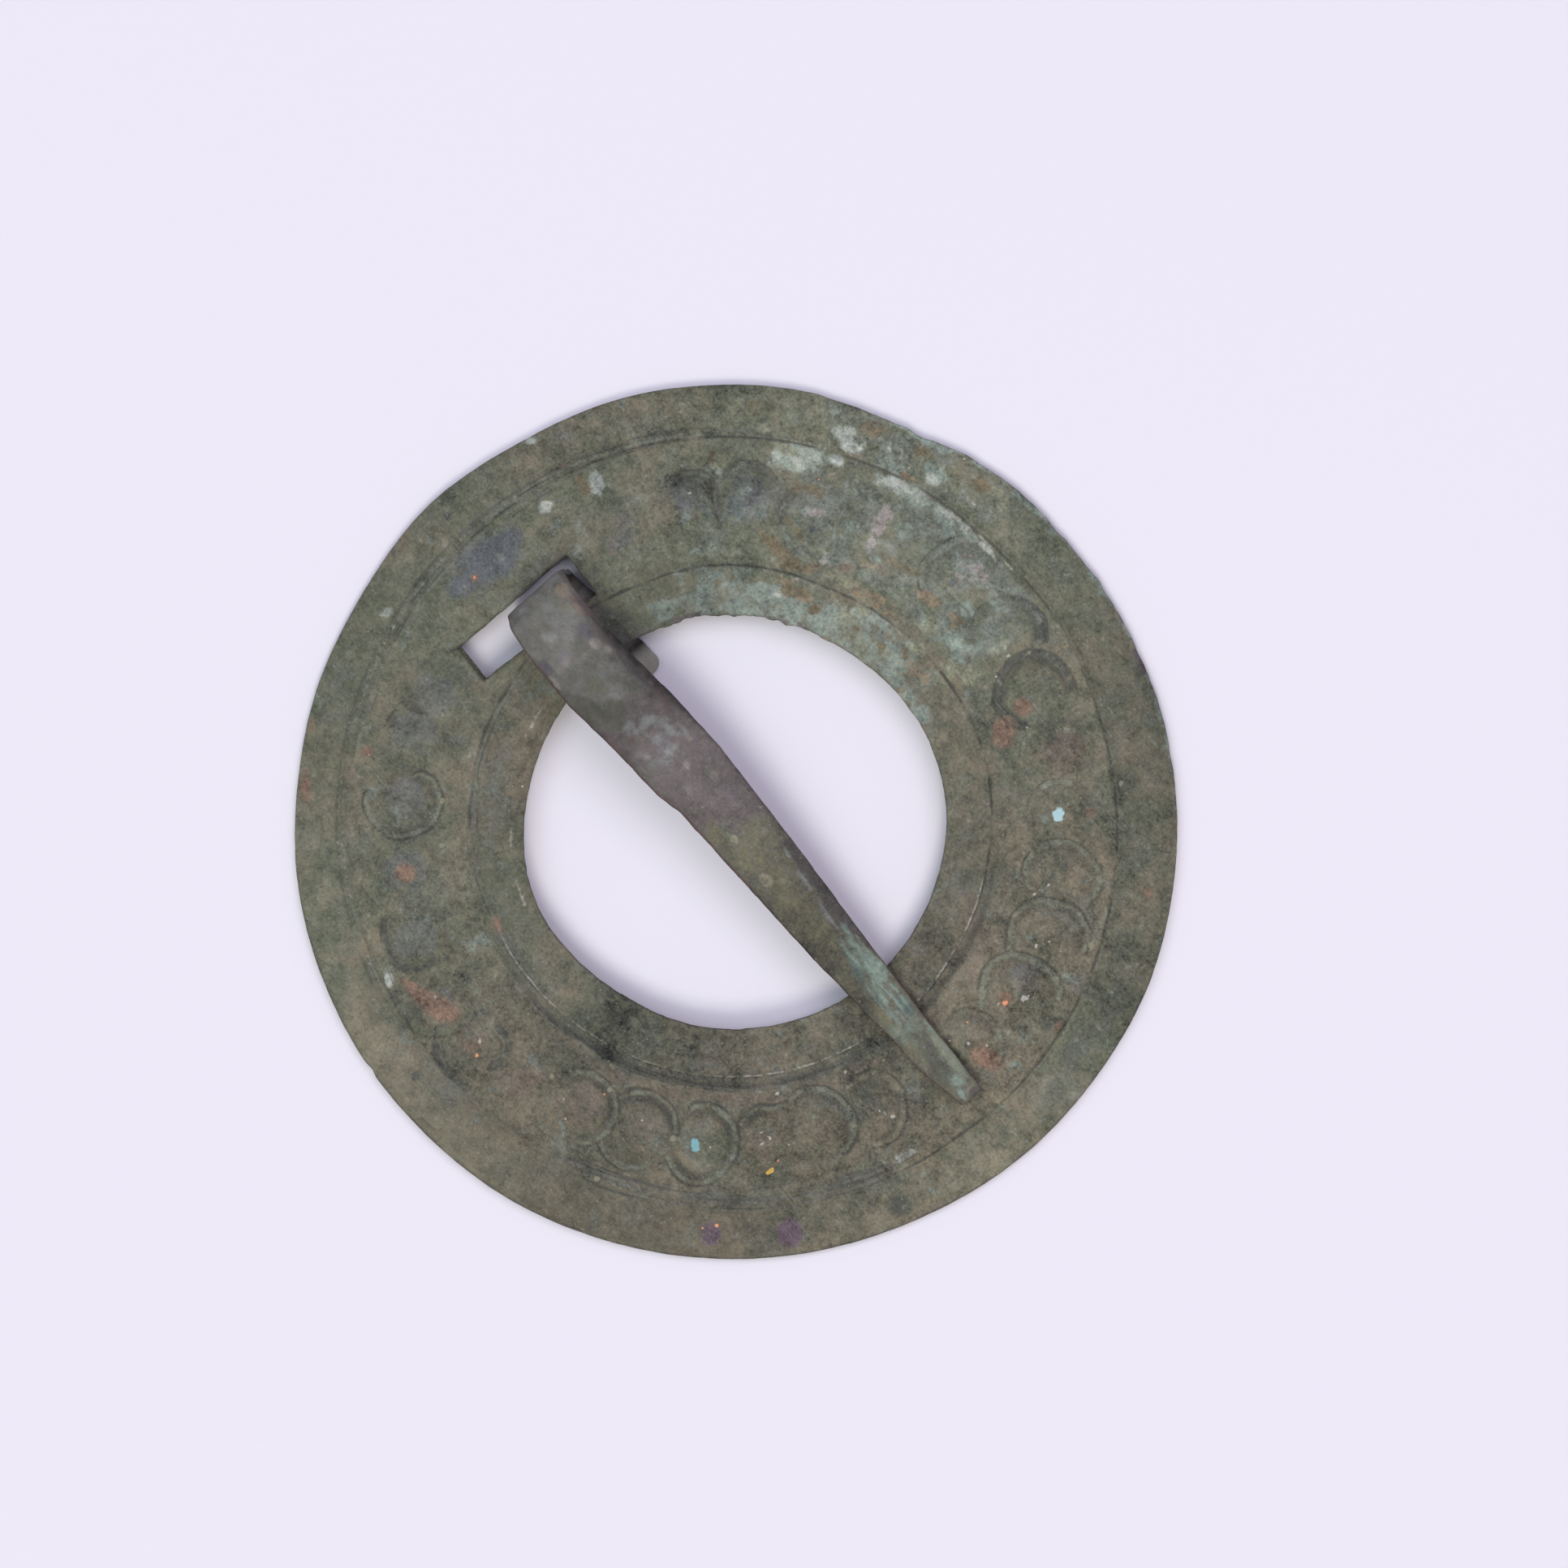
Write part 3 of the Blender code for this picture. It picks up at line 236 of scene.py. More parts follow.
        (-4.91, 12.18, 0.90, 0.60, 31, 0.75), (-4.91, 13.43, 0.70, 0.50, 31, 0.75), (-4.10, 11.94, 0.60, 0.50, 31, 0.75), (0.86, 15.04, 0.60, 0.80, 31, 0.75), (-1.17, 14.31, 0.60, 0.50, 31, 0.75), (-14.72, 15.70, 0.80, 0.30, 31, 0.75), (-5.44, 23.37, 0.60, 0.50, 31, 0.75), (-4.46, 23.41, 0.40, 0.40, 31, 0.75), (-2.15, 12.73, 0.50, 0.40, 31, 0.75), (-16.68, 15.33, 0.40, 0.25, 31, 0.75), (-6.83, 13.56, 0.90, 0.35, 31, 0.75), (1.98, 15.61, 0.50, 0.60, 31, 0.75), (-3.20, 11.80, 0.70, 0.50, 31, 0.75), (-1.80, 15.72, 0.60, 0.60, 31, 0.75),
    ),
    "mint": (
        (-13.9, 15.95, 1.50, 0.74, 50, 1), (-12.45, 17.55, 0.42, 0.36, 30, 0.9), (-8.15, 19.75, 0.9, 0.5, 15, 0.85), (-9.6, 19.3, 0.8, 0.35, 30, 0.6), (-16.35, 11.9, 0.45, 0.2, 0, 0.85),
        (-20.1, 6.1, 0.9, 0.5, -25, 0.6), (-5.0, 13.0, 0.4, 0.3, 0, 0.7), (-5.6, 20.5, 1.4, 0.3, 14, 0.6), (-14.8, 19.2, 0.6, 0.35, 40, 0.5), (0.6, 16.3, 0.8, 0.4, 10, 0.5), (2.2, 15.9, 0.7, 0.3, 0, 0.4),
    ),
    "lagoon": (
        (-13.8, 11.4, 0.85, 0.62, 0, 0.9), (-9.5, 22.95, 0.8, 0.14, 28, 0.9), (-4.0, 24.45, 0.9, 0.12, 5, 0.7), (-2.8, 18.2, 0.3, 0.26, 0, 0.8), (-16.4, 15.9, 0.3, 0.2, 0, 0.4), (2.2, 12.0, 0.5, 0.2, -10, 0.7),
        (-10.2, 14.0, 0.6, 0.4, 30, 0.5), (-7.4, 16.0, 0.3, 0.3, 0, 0.6), (-14.6, 9.9, 0.6, 0.5, 0, 0.35),
    ),
    "slate": (
        (-20.45, -1.5, 1.9, 1.2, 86, 0.95), (-20.38, -3.48, 1.0, 0.7, 86, 0.8), (-20.6, 0.1, 1.0, 0.75, 86, 1), (-16.2, 9.4, 1.0, 0.9, 0, 0.6), (-13.7, 12.6, 1.2, 0.9, 40, 0.55),
        (-12.6, -4.9, 0.8, 1.6, 0, 0.35), (-13.6, -9.2, 0.5, 1.2, -30, 0.35), (11.9, -7.5, 1.2, 0.4, 55, 0.4), (17.2, 7.2, 0.9, 0.7, 0, 0.45), (22.4, 6.6, 0.9, 0.6, 20, 0.5),
    ),
    "umber": (
        (-10.4, 11.75, 1.6, 0.34, 6, 0.95), (-11.0, 13.2, 0.9, 0.25, 0, 0.6), (-20.4, 5.5, 0.8, 0.35, -15, 0.5), (-17.6, 16.1, 0.8, 0.6, 40, 0.5),
        (-8.25, 10.76, 0.60, 0.40, 40, 1), (-7.64, 11.25, 0.45, 0.30, 40, 0.9), (-6.63, 11.12, 0.35, 0.28, 40, 0.9), (-1.31, 13.64, 0.7, 0.30, 15, 0.45), (-12.5, 20.3, 0.9, 0.5, 40, 0.7), (-9.6, 21.7, 0.6, 0.3, 20, 0.8), (-6.2, 23.1, 0.6, 0.35, 10, 0.7), (-13.8, 20.1, 0.4, 0.25, 30, 0.5),
        (-4.27, 12.39, 0.28, 0.18, 30, 0.9), (-9.50, 11.90, 0.6, 0.38, 60, 0.85), (-5.3, 16.6, 1.3, 0.30, 20, 0.55), (-3.3, 20.0, 0.7, 0.25, 20, 0.4),
        (-12.2, 15.0, 1.3, 0.6, 50, 0.45), (-8.6, 12.5, 0.7, 0.3, 60, 0.7), (-2.6, 12.9, 0.3, 0.2, 20, 0.7), (-16.6, 12.4, 1.2, 0.7, 60, 0.4), (-10.9, 22.3, 0.8, 0.35, 30, 0.5),
        (-6.3, 22.9, 0.9, 0.4, 15, 0.5),
    ),
    "cyan": (
        (11.19, 14.58, 0.35, 0.46, 56, 1),
    ),
    "teal": (
        (12.79, -13.28, 0.25, 0.42, 56, 1),
    ),
    "gold": (
        (16.63, -10.86, 0.24, 0.16, 71, 1),
    ),
    "spark": (
        (17.09, -15.23, 0.14, 0.18, 51, 1), (16.69, -15.94, 0.09, 0.09, 51, 1), (16.41, -10.15, 0.09, 0.18, 21, 0.9), (0.98, -19.69, 0.12, 0.14, 51, 0.9),
        (17.07, 3.17, 0.09, 0.09, 51, 0.9), (-16.19, -13.67, 0.09, 0.09, 51, 0.9), (-20.21, -2.67, 0.09, 0.14, 51, 0.6), (-12.17, 16.06, 0.14, 0.09, 51, 0.9),
        (17.58, 5.48, 0.18, 0.18, 51, 0.4), (7.24, -15.42, 0.09, 0.09, 51, 0.3),
    ),
    "yellow": (
        (12.07, 18.52, 0.14, 0.18, 51, 0.6), (2.99, 19.13, 0.12, 0.12, 51, 0.8), (10.71, -18.84, 0.18, 0.18, 51, 0.8),
        (4.56, -17.11, 0.14, 0.14, 51, 0.7), (7.24, -15.06, 0.14, 0.14, 51, 0.8), (11.66, -14.02, 0.18, 0.18, 51, 0.7), (-11.50, -12.07, 0.16, 0.18, 51, 0.8),
        (18.16, 11.38, 0.18, 0.23, 51, 0.6), (-9.56, -13.71, 0.14, 0.14, 51, 0.3), (18.34, 8.68, 0.09, 0.09, 51, 0.7),
    ),
    "glint": (
        (16.27, 9.58, 0.14, 0.09, 51, 1), (16.46, 9.66, 0.09, 0.09, 51, 0.8), (17.35, 5.20, 0.09, 0.14, 51, 1), (18.13, 5.87, 0.23, 0.09, 66, 1),
        (18.07, 6.52, 0.37, 0.23, 71, 0.6), (16.18, 8.88, 0.14, 0.14, 51, 0.8), (17.30, 9.81, 0.09, 0.09, 51, 0.7), (17.25, 1.71, 0.14, 0.09, 51, 0.8),
        (18.06, 2.48, 0.14, 0.14, 51, 0.6), (18.80, 3.18, 0.14, 0.14, 51, 0.6), (15.07, -10.25, 0.14, 0.18, 81, 1), (15.11, -9.69, 0.09, 0.14, 51, 0.9),
        (14.54, -9.88, 0.14, 0.09, 51, 0.6), (16.07, -9.10, 0.09, 0.09, 51, 0.7), (14.86, -4.01, 0.14, 0.14, 51, 0.9), (17.86, -3.90, 0.09, 0.18, 51, 0.7),
        (18.54, -3.50, 0.14, 0.14, 51, 0.7), (13.41, -7.77, 0.18, 0.09, 91, 0.8), (9.76, -14.67, 0.14, 0.14, 51, 0.6), (0.13, -18.97, 0.14, 0.14, 51, 0.9),
        (0.43, -18.98, 0.14, 0.23, 51, 0.5), (6.92, -18.01, 0.09, 0.09, 51, 0.7), (6.00, -17.39, 0.09, 0.14, 51, 0.8), (2.87, 16.79, 0.14, 0.09, 51, 0.9),
        (6.20, 16.34, 0.09, 0.09, 51, 0.9), (2.41, 18.12, 0.18, 0.14, 51, 0.4), (-9.47, 20.47, 0.09, 0.09, 51, 0.9), (-7.92, 23.25, 0.09, 0.09, 51, 0.9),
        (-16.19, 9.87, 0.14, 0.09, 51, 0.9), (13.93, 11.66, 0.32, 0.09, 101, 0.7), (13.83, 10.67, 0.14, 0.09, 91, 0.8), (-9.29, -8.04, 0.09, 0.09, 51, 0.8),
        (-9.81, -8.69, 0.09, 0.09, 51, 0.6), (12.60, -11.75, 0.09, 0.09, 51, 0.6), (13.35, -12.66, 0.09, 0.09, 51, 0.4), (10.34, 2.87, 0.09, 0.09, 51, 0.2),
        (-7.79, 9.82, 0.09, 0.09, 51, 0.2), (-3.13, -19.41, 0.09, 0.09, 51, 0.2),
    ),
}
SECTORS = {
    "haze": ((84, 126, 15.6, 21.3, 0.46), (122, 150, 15.0, 20.5, 0.34), (100, 128, 22.0, 24.8, 0.36)),
    "turq": ((88, 118, 15.6, 21.3, 0.20), (-265.1, -249.1, 11.81, 13.84, 0.75), (-251.1, -233.1, 11.71, 13.74, 0.85), (-235.1, -217.1, 11.81, 13.84, 0.86), (-219.1, -208.1, 11.90, 13.84, 0.66), (-209.1, -197.1, 12.08, 13.38, 0.66), (-282.1, -263.1, 11.81, 12.73, 0.6), (-223.1, -205.1, 13.84, 14.85, 0.5),),
    "plum": ((-239.6, -236.1, 11.62, 12.08, 0.8), (-234.1, -229.1, 11.62, 11.99, 0.75), (-227.1, -223.1, 11.67, 11.99, 0.6), (-210.1, -205.1, 11.85, 12.22, 0.9), (-205.1, -200.6, 11.90, 12.18, 0.9), (-289.1, -285.1, 24.68, 25.14, 0.9), (-250.1, -248.1, 24.72, 25.14, 0.5), (-197.1, -184.1, 11.76, 12.27, 0.5),),
    "pale": ((-261.1, -247.1, 20.99, 21.68, 0.45), (-247.1, -239.1, 20.85, 21.59, 0.35), (-239.1, -225.1, 20.52, 21.59, 0.4),),
    "olive": ((-104.1, -69.1, 22.51, 25.14, 0.6), (-26.1, 2.9, 22.42, 25.14, 0.55), (-69.1, -47.1, 22.51, 25.14, 0.35),),
    "brown": ((-83.1, 40.9, 15.40, 16.14, 0.45), (-309.1, -279.1, 14.85, 16.14, 0.35), (-114.1, -84.1, 12.08, 13.84, 0.2), (-23.1, -9.1, 12.08, 13.84, 0.25),),
    "moss": ((-169.1, -87.1, 15.22, 22.14, 0.3), (-165.1, -109.1, 22.60, 24.91, 0.25), (-209.1, -169.1, 15.22, 21.68, 0.2),),
    "dark": ((12.9, 35.9, 22.60, 24.91, 0.35), (-69.1, -57.1, 15.45, 16.23, 0.2), (-54.1, -19.1, 20.99, 21.86, 0.3),),
    "blue": ((-149.1, -119.1, 13.14, 14.53, 0.35), (-54.1, -19.1, 12.08, 13.84, 0.25), (20.9, 40.9, 12.08, 13.84, 0.2),),
}
OUTER_LINE = ((3.9, 22.0), (20.9, 22.0), (30.9, 21.95), (40.9, 21.86), (50.9, 21.77), (60.9, 21.68), (70.9, 21.63), (80.9, 21.77), (90.9, 21.59), (100.9, 21.68), (110.9, 21.82), (120.9, 21.86), (130.9, 21.95), (140.9, 22.05), (150.9, 22.14), (170.9, 22.14), (190.9, 22.18), (210.9, 22.18), (230.9, 22.18), (245.9, 22.05), (260.9, 21.95), (270.9, 21.77), (280.9, 21.59), (290.9, 21.54), (300.9, 21.82), (310.9, 21.86), (320.9, 22.0), (330.9, 21.91), (340.9, 21.86), (350.9, 21.95), (355.9, 21.82))
INNER_LINE = ((5.9, 14.48), (20.9, 14.41), (30.9, 14.48), (40.9, 14.44), (50.9, 14.57), (60.9, 14.62), (70.9, 14.67), (80.9, 14.53), (95.9, 14.48), (110.9, 14.39), (117.9, 14.34), (125.9, 14.48), (130.9, 14.53), (140.9, 14.71), (150.9, 14.71), (160.9, 14.57), (170.9, 14.67), (190.9, 14.99), (200.9, 14.99), (208.9, 15.08), (220.9, 15.04), (230.9, 15.04), (240.9, 14.99), (250.9, 14.76), (260.9, 14.71), (275.9, 14.57), (295.9, 14.44), (315.9, 14.39), (335.9, 14.34), (350.9, 14.3))

# How strongly the patina is mottled: (angle, strength) on the brim, between the scored lines, and beside the hole
VARY_BRIM = ((5, 1.12), (35, 1.15), (65, 0.74), (95, 1.12), (125, 1.5), (155, 1.15), (186, 0.95), (216, 0.88), (246, 0.92), (276, 0.66), (306, 0.74), (336, 1.0))
VARY_ZONE = ((5, 1.3), (35, 1.25), (65, 1.12), (95, 1.15), (125, 1.25), (155, 1.15), (186, 1.0), (216, 0.95), (246, 1.15), (276, 1.12), (306, 0.95), (336, 1.18))
VARY_INNER = ((5, 1.08), (35, 0.9), (65, 1.0), (95, 1.05), (125, 1.2), (155, 0.8), (186, 0.85), (216, 0.8), (246, 0.86), (276, 1.0), (306, 0.95), (336, 1.12))
# (boss, how much lighter)
BOSS_TONE = ((23, 0.20), (25, 0.30), (26, 0.06), (27, 0.06), (1, -0.18), (5, -0.12), (17, -0.12), (19, -0.14), (12, -0.16), (13, -0.24), (14, -0.12), (7, 0.16), (10, 0.12), (16, -0.04))

# Stains and wear on the pin's upper side, with painted highlights and painted shade among them, as PATCHES: ellipses
# (x, y, half length, half width, turn, strength)
PIN_PATCHES = {
    "orange": ((-16.35, 0.76, 0.42, 0.42, 75, 1.0), (-15.0, 0.85, 0.55, 0.20, 0, 0.55), (-5.4, 1.07, 0.22, 0.22, 0, 0.5), (-15.8, 0.95, 0.4, 0.16, 0, 0.45)),
    "pale": (
        # The first three pale spots, on the head, are worn spots with painted highlights
        (-12.84, 0.34, 0.36, 0.32, 20, 1.0), (-12.2, 0.68, 0.36, 0.22, 10, 0.6), (-12.53, -2.86, 0.55, 0.20, -4, 1.0), (-12.7, -0.6, 0.28, 1.0, 0, 0.40),
        (-4.3, 0.0, 0.28, 0.16, 0, 0.6), (-6.05, -1.45, 0.22, 0.22, 0, 0.5), (-9.9, -0.8, 0.5, 0.3, 50, 0.35), (-2.9, 0.7, 0.20, 0.14, 0, 0.5),
        (-13.0, -1.9, 0.3, 0.6, 0, 0.35),
    ),
    "ivory": ((3.6, -0.62, 0.42, 0.32, 20, 1.15), (0.67, -0.57, 0.30, 0.22, 0, 0.85), (4.3, 0.15, 0.5, 0.2, 40, 0.5), (-1.9, -1.2, 0.3, 0.2, 0, 0.4), (2.2, 0.4, 0.3, 0.14, 0, 0.4)),
    "ice": (
        # The first three ice lines, along the inner edge of the worn facet, are a painted highlight on its ridge
        (3.15, 1.28, 0.38, 0.13, -12, 0.85), (4.9, 1.04, 0.95, 0.12, -5, 1.0), (7.4, 0.80, 1.3, 0.12, -5, 0.8), (-7.63, -0.3, 0.38, 0.55, 20, 0.8),
        (-7.95, -1.14, 0.45, 0.38, 0, 0.75), (-6.5, 0.55, 0.5, 0.32, 0, 0.75), (-7.1, 0.23, 0.35, 0.28, 30, 0.6), (-5.0, -0.6, 0.6, 0.3, 20, 0.45),
        (-7.2, 0.0, 1.1, 1.1, 0, 0.48), (-6.2, 0.9, 0.9, 0.36, 10, 0.55), (-5.5, 0.0, 0.6, 0.5, 0, 0.45), (-14.8, -1.3, 0.9, 0.8, 0, 0.35), (-3.3, -0.9, 0.5, 0.25, 0, 0.4),
    ),
    "purple": (
        (-13.72, 0.34, 0.52, 0.46, 0, 1.0), (-13.53, -2.70, 0.48, 0.30, 0, 0.95), (-6.0, -0.3, 0.9, 0.6, 0, 0.45),
        (-4.4, 1.35, 1.5, 0.35, 5, 0.45), (-1.8, 1.0, 1.6, 0.45, 0, 0.36), (-9.9, 1.0, 1.0, 0.22, 8, 0.4), (-13.2, -1.5, 0.6, 0.7, 0, 0.4),
    ),
    "red": (
        (-8.3, 1.38, 0.85, 0.24, -4, 1.0), (-7.5, 0.70, 0.30, 0.26, -20, 1.0), (-15.0, 1.0, 0.95, 0.32, 0, 0.9), (-13.2, 0.95, 0.8, 0.2, 0, 0.6), (-7.3, -1.55, 0.35, 0.42, 10, 0.6), (-7.6, -2.40, 1.1, 0.16, 4, 0.95),
        (-9.6, 1.55, 0.7, 0.12, 8, 0.7), (-10.4, -2.85, 0.9, 0.12, 6, 0.6), (-12.0, 1.15, 0.9, 0.14, 2, 0.5), (-14.6, 1.0, 0.8, 0.12, 0, 0.4),
    ),
    "blue": (
        (-5.76, -1.45, 1.3, 0.45, 10, 0.4), (-10.6, -0.3, 0.9, 0.6, 0, 0.4), (5.2, 0.35, 1.4, 0.22, -6, 0.3), (-15.2, -0.4, 1.2, 0.9, 0, 0.5),
    ),
    "olive": (
        (7.4, -0.5, 3.4, 1.1, -2, 0.85), (4.7, -0.25, 3.1, 0.62, -9, 0.60), (3.0, -0.9, 2.4, 0.36, 9, 0.50), (-11.0, -1.2, 0.8, 0.7, 0, 0.5),
        (-15.9, 0.1, 0.8, 0.7, 0, 0.4), (0.6, -0.9, 2.2, 0.6, 0, 0.45), (12.6, -0.6, 2.0, 0.35, 6, 0.75), (16.2, -0.3, 1.6, 0.30, 4, 0.5), (2.8, 1.1, 1.8, 0.3, 0, 0.5),
    ),
    "turq": (
        (9.0, 1.02, 0.95, 0.26, -8, 0.70), (10.0, 0.85, 1.2, 0.46, -6, 0.75), (11.3, 1.02, 1.05, 0.50, 0, 1.05), (12.4, 0.45, 1.5, 0.26, -10, 0.72),
        (13.3, 0.95, 1.0, 0.42, 0, 0.68), (14.5, 0.30, 0.9, 0.45, 0, 0.62), (19.3, 0.66, 0.50, 0.38, 25, 0.80), (19.95, 0.25, 0.38, 0.26, -20, 0.75), (16.2, 1.30, 1.5, 0.16, 0, 0.55),
        (9.2, 0.45, 0.8, 0.14, -8, 0.55), (13.0, -0.1, 1.2, 0.18, -6, 0.5), (18.2, 0.9, 0.8, 0.3, 0, 0.26), (15.2, -0.35, 0.6, 0.5, 0, 0.32),
    ),
    "teal": ((14.0, 0.98, 0.95, 0.38, 0, 0.95), (11.9, 0.72, 0.35, 0.16, -20, 0.75), (9.6, 0.62, 0.5, 0.14, -10, 0.65), (13.9, 0.2, 0.4, 0.16, 10, 0.6), (12.9, 0.75, 0.6, 0.2, 0, 0.7), (10.6, 0.2, 1.2, 0.2, -6, 0.6), (19.9, 0.35, 0.3, 0.3, 0, 0.6)),
    "green": (
        (11.6, 0.0, 1.6, 0.35, 0, 0.7), (15.2, -0.05, 0.8, 0.8, 0, 0.9), (16.8, 0.5, 1.6, 0.7, 4, 0.72), (18.6, 0.6, 1.2, 0.6, 0, 0.82),
        (9.2, 0.8, 0.9, 0.4, -8, 0.6),
    ),
    "sage": ((17.8, 1.15, 2.0, 0.28, 0, 0.9), (15.2, 0.9, 0.8, 0.4, 0, 0.55), (14.9, -0.3, 0.5, 0.5, 0, 0.7), (19.3, 0.9, 0.5, 0.4, 0, 0.7), (16.0, -0.35, 0.7, 0.2, 0, 0.5), (0.7, -0.6, 0.3, 0.2, 0, 0.5)),
    "loam": ((-9.2, -1.03, 0.7, 0.42, 0, 1.0), (-8.8, -1.55, 0.8, 0.4, 10, 0.95), (-9.9, -2.2, 1.3, 0.45, 4, 0.95), (-10.3, 0.2, 0.8, 0.35, 10, 0.45), (6.5, -0.9, 0.9, 0.3, -4, 0.5), (9.6, -0.5, 1.0, 0.3, 0, 0.45), (17.1, 0.45, 1.2, 0.48, 0, 1.1), (18.5, 0.0, 0.8, 0.28, 0, 0.7), (16.2, 0.9, 0.5, 0.25, 10, 0.6), (17.9, -0.45, 0.8, 0.14, 4, 0.6)),
    "dark": (
        # The patches along the right edge, from y 1.1 outwards, darken it and its worn facet: dark patina and painted
        # shade
        (4.4, 1.62, 1.8, 0.40, -4, 1.0), (7.4, 1.42, 2.0, 0.46, -6, 1.0), (9.8, 1.55, 1.0, 0.16, 0, 0.7), (20.4, 1.0, 0.26, 0.45, 0, 1.0), (20.3, 0.1, 0.15, 0.3, 0, 0.7),
        (-0.5, 1.85, 2.6, 0.12, 2, 0.5), (-6.5, 1.95, 3.0, 0.14, 5, 0.5), (-3.4, -2.0, 0.8, 0.2, 14, 0.5), (-10.4, 1.25, 1.8, 0.34, 6, 1.0), (-12.0, 1.12, 1.0, 0.20, 2, 0.8), (-8.5, 1.45, 1.0, 0.18, 8, 0.7), (-13.2, 1.12, 1.6, 0.14, 0, 0.7),
        (17.2, 0.5, 0.5, 0.2, 0, 0.65), (16.75, 0.6, 0.3, 0.26, 0, 0.6), (19.75, 0.45, 0.16, 0.12, 0, 0.7), (-10.2, -2.75, 1.2, 0.2, 3, 0.4), (13.2, -0.75, 1.2, 0.1, 6, 0.5), (2.6, 1.55, 0.3, 0.2, 0, 0.7), (-12.4, 1.2, 0.9, 0.2, 0, 0.5),
    ),
}
# (x, how far in from the right edge the worn facet starts, how much lower its edge is)
PIN_FACET = ((-17.5, 0.36, 0.20), (-7.0, 0.34, 0.18), (-5.0, 0.15, 0.08), (1.0, 0.16, 0.08), (3.0, 0.74, 0.24), (8.0, 1.05, 0.20), (12.0, 0.5, 0.06), (20.6, 0.15, 0.04))


# ---------------------------------------------------------------- helpers
def smooth(t):
    t = np.clip(t, 0.0, 1.0)
    return t * t * (3 - 2 * t)


def bell(x, width):
    return np.exp(-((x / width) ** 2))


def waves(angle, terms):
    return sum(h * np.cos(np.radians(k * angle - d)) for k, h, d in terms)


def lattice(x, y, z, seed):
    """A number in 0..1 for each whole-number cell."""
    n = (x * np.uint32(0x8DA6B343)) ^ (y * np.uint32(0xD8163841)) ^ (z * np.uint32(0xCB1AB31F))
    n = n ^ np.uint32((seed * 0x9E3779B9 + 0x7F4A7C15) & 0xFFFFFFFF)
    for shift, factor in ((15, 0x2C1B3C6D), (12, 0x297A2D39)):
        n = (n ^ (n >> np.uint32(shift))) * np.uint32(factor)
    return (n ^ (n >> np.uint32(15))).astype(np.float64) / 4294967295.0


def noise(points, size, seed):
    """Smooth noise in 0..1 with features of this size in mm, at rows of (x, y, z) in mm."""
    q = points / size + 37.0
    cell = np.floor(q)
    f = q - cell
    f = f * f * f * (f * (f * 6 - 15) + 10)
    cell = cell.astype(np.int64).astype(np.uint32)
    total = np.zeros(len(points))
    for dx in (0, 1):
        for dy in (0, 1):
            for dz in (0, 1):
                share = (f[:, 0] if dx else 1 - f[:, 0]) * (f[:, 1] if dy else 1 - f[:, 1]) * (f[:, 2] if dz else 1 - f[:, 2])
                corner = cell + np.array([dx, dy, dz], np.uint32)
                total += share * lattice(corner[:, 0], corner[:, 1], corner[:, 2], seed)
    return total


def layered(points, size, seed, octaves=3, gain=0.55):
    total, weight, norm = 0.0, 1.0, 0.0
    for k in range(octaves):
        total = total + weight * noise(points, size / 2.03**k, seed + 17 * k)
        norm += weight
        weight *= gain
    return total / norm


def flat3(x, y):
    return np.stack([x, y, np.zeros_like(x)], 1)


def around_table(pairs, blur=9.0):
    """A periodic curve through (angle, value) pairs with its corners rounded, as a function of the angle."""
    steps = np.arange(0, 360, 0.5)
    values = np.interp(steps, [p[0] for p in pairs], [p[1] for p in pairs], period=360)
    reach = int(blur)
    kernel = np.hanning(2 * reach + 3)[1:-1]
    kernel /= kernel.sum()
    values = np.convolve(np.concatenate([values[-reach:], values, values[:reach]]), kernel, "valid")
    return lambda angle: np.interp(angle % 360, steps, values, period=360)


def window(angle, low, high, fade):
    """1 between the two angles, and 0 further than fade outside them."""
    middle, half = (low + high) / 2, (high - low) / 2
    off = np.abs((angle - middle + 180) % 360 - 180)
    return smooth((half + fade - off) / fade)


def hermite(x, xs, ys):
    """A smooth curve through the points, held level beyond its ends."""
    xs, ys = np.asarray(xs, float), np.asarray(ys, float)
    slopes = np.gradient(ys, xs)
    x = np.clip(x, xs[0], xs[-1])
    i = np.clip(np.searchsorted(xs, x) - 1, 0, len(xs) - 2)
    h = xs[i + 1] - xs[i]
    t = (x - xs[i]) / h
    a, b = 2 * t**3 - 3 * t**2 + 1, t**3 - 2 * t**2 + t
    c, d = -2 * t**3 + 3 * t**2, t**3 - t**2
    return a * ys[i] + b * h * slopes[i] + c * ys[i + 1] + d * h * slopes[i + 1]


def ellipses(x, y, items):
    """1 in the middle of each ellipse and half its strength at its outline."""
    out = np.zeros_like(x)
    for cx, cy, a, b, turn, strength in items:
        c, s = math.cos(math.radians(turn)), math.sin(math.radians(turn))
        dx, dy = x - cx, y - cy
        q = np.hypot((dx * c + dy * s) / a, (dy * c - dx * s) / b)
        np.maximum(out, strength * np.clip(1.5 - q, 0, 1), out=out)
    return out


def spots(x, y, items, scale):
    """For points near a spot, their place in it as shares of its half sizes, and 1; elsewhere zeros."""
    out = np.zeros((len(x), 3))
    for cx, cy, a, b, turn, strength in items:
        a, b = a * scale, b * scale
        c, s = math.cos(math.radians(turn)), math.sin(math.radians(turn))
        dx, dy = x - cx, y - cy
        near = np.hypot(dx, dy) < 2.2 * max(a, b) + 0.26
        out[near, 0], out[near, 1] = (dx * c + dy * s)[near] / a, (dy * c - dx * s)[near] / b
        out[near, 2] = 1.0
    return out


def sectors(angle, radius, items, soft=0.35):
    out = np.zeros_like(radius)
    for low, high, inner, outer, strength in items:
        middle, half = (low + high) / 2, (high - low) / 2
        off = np.abs((angle - middle + 180) % 360 - 180)
        depth = np.minimum(np.radians(half - off) * radius, np.minimum(radius - inner, outer - radius))
        np.maximum(out, strength * np.clip(0.5 + depth / soft, 0, 1), out=out)
    return out


def attribute(mesh, name, values):
    mesh.attributes.new(name, "FLOAT", "POINT").data.foreach_set("value", np.asarray(values, np.float32))


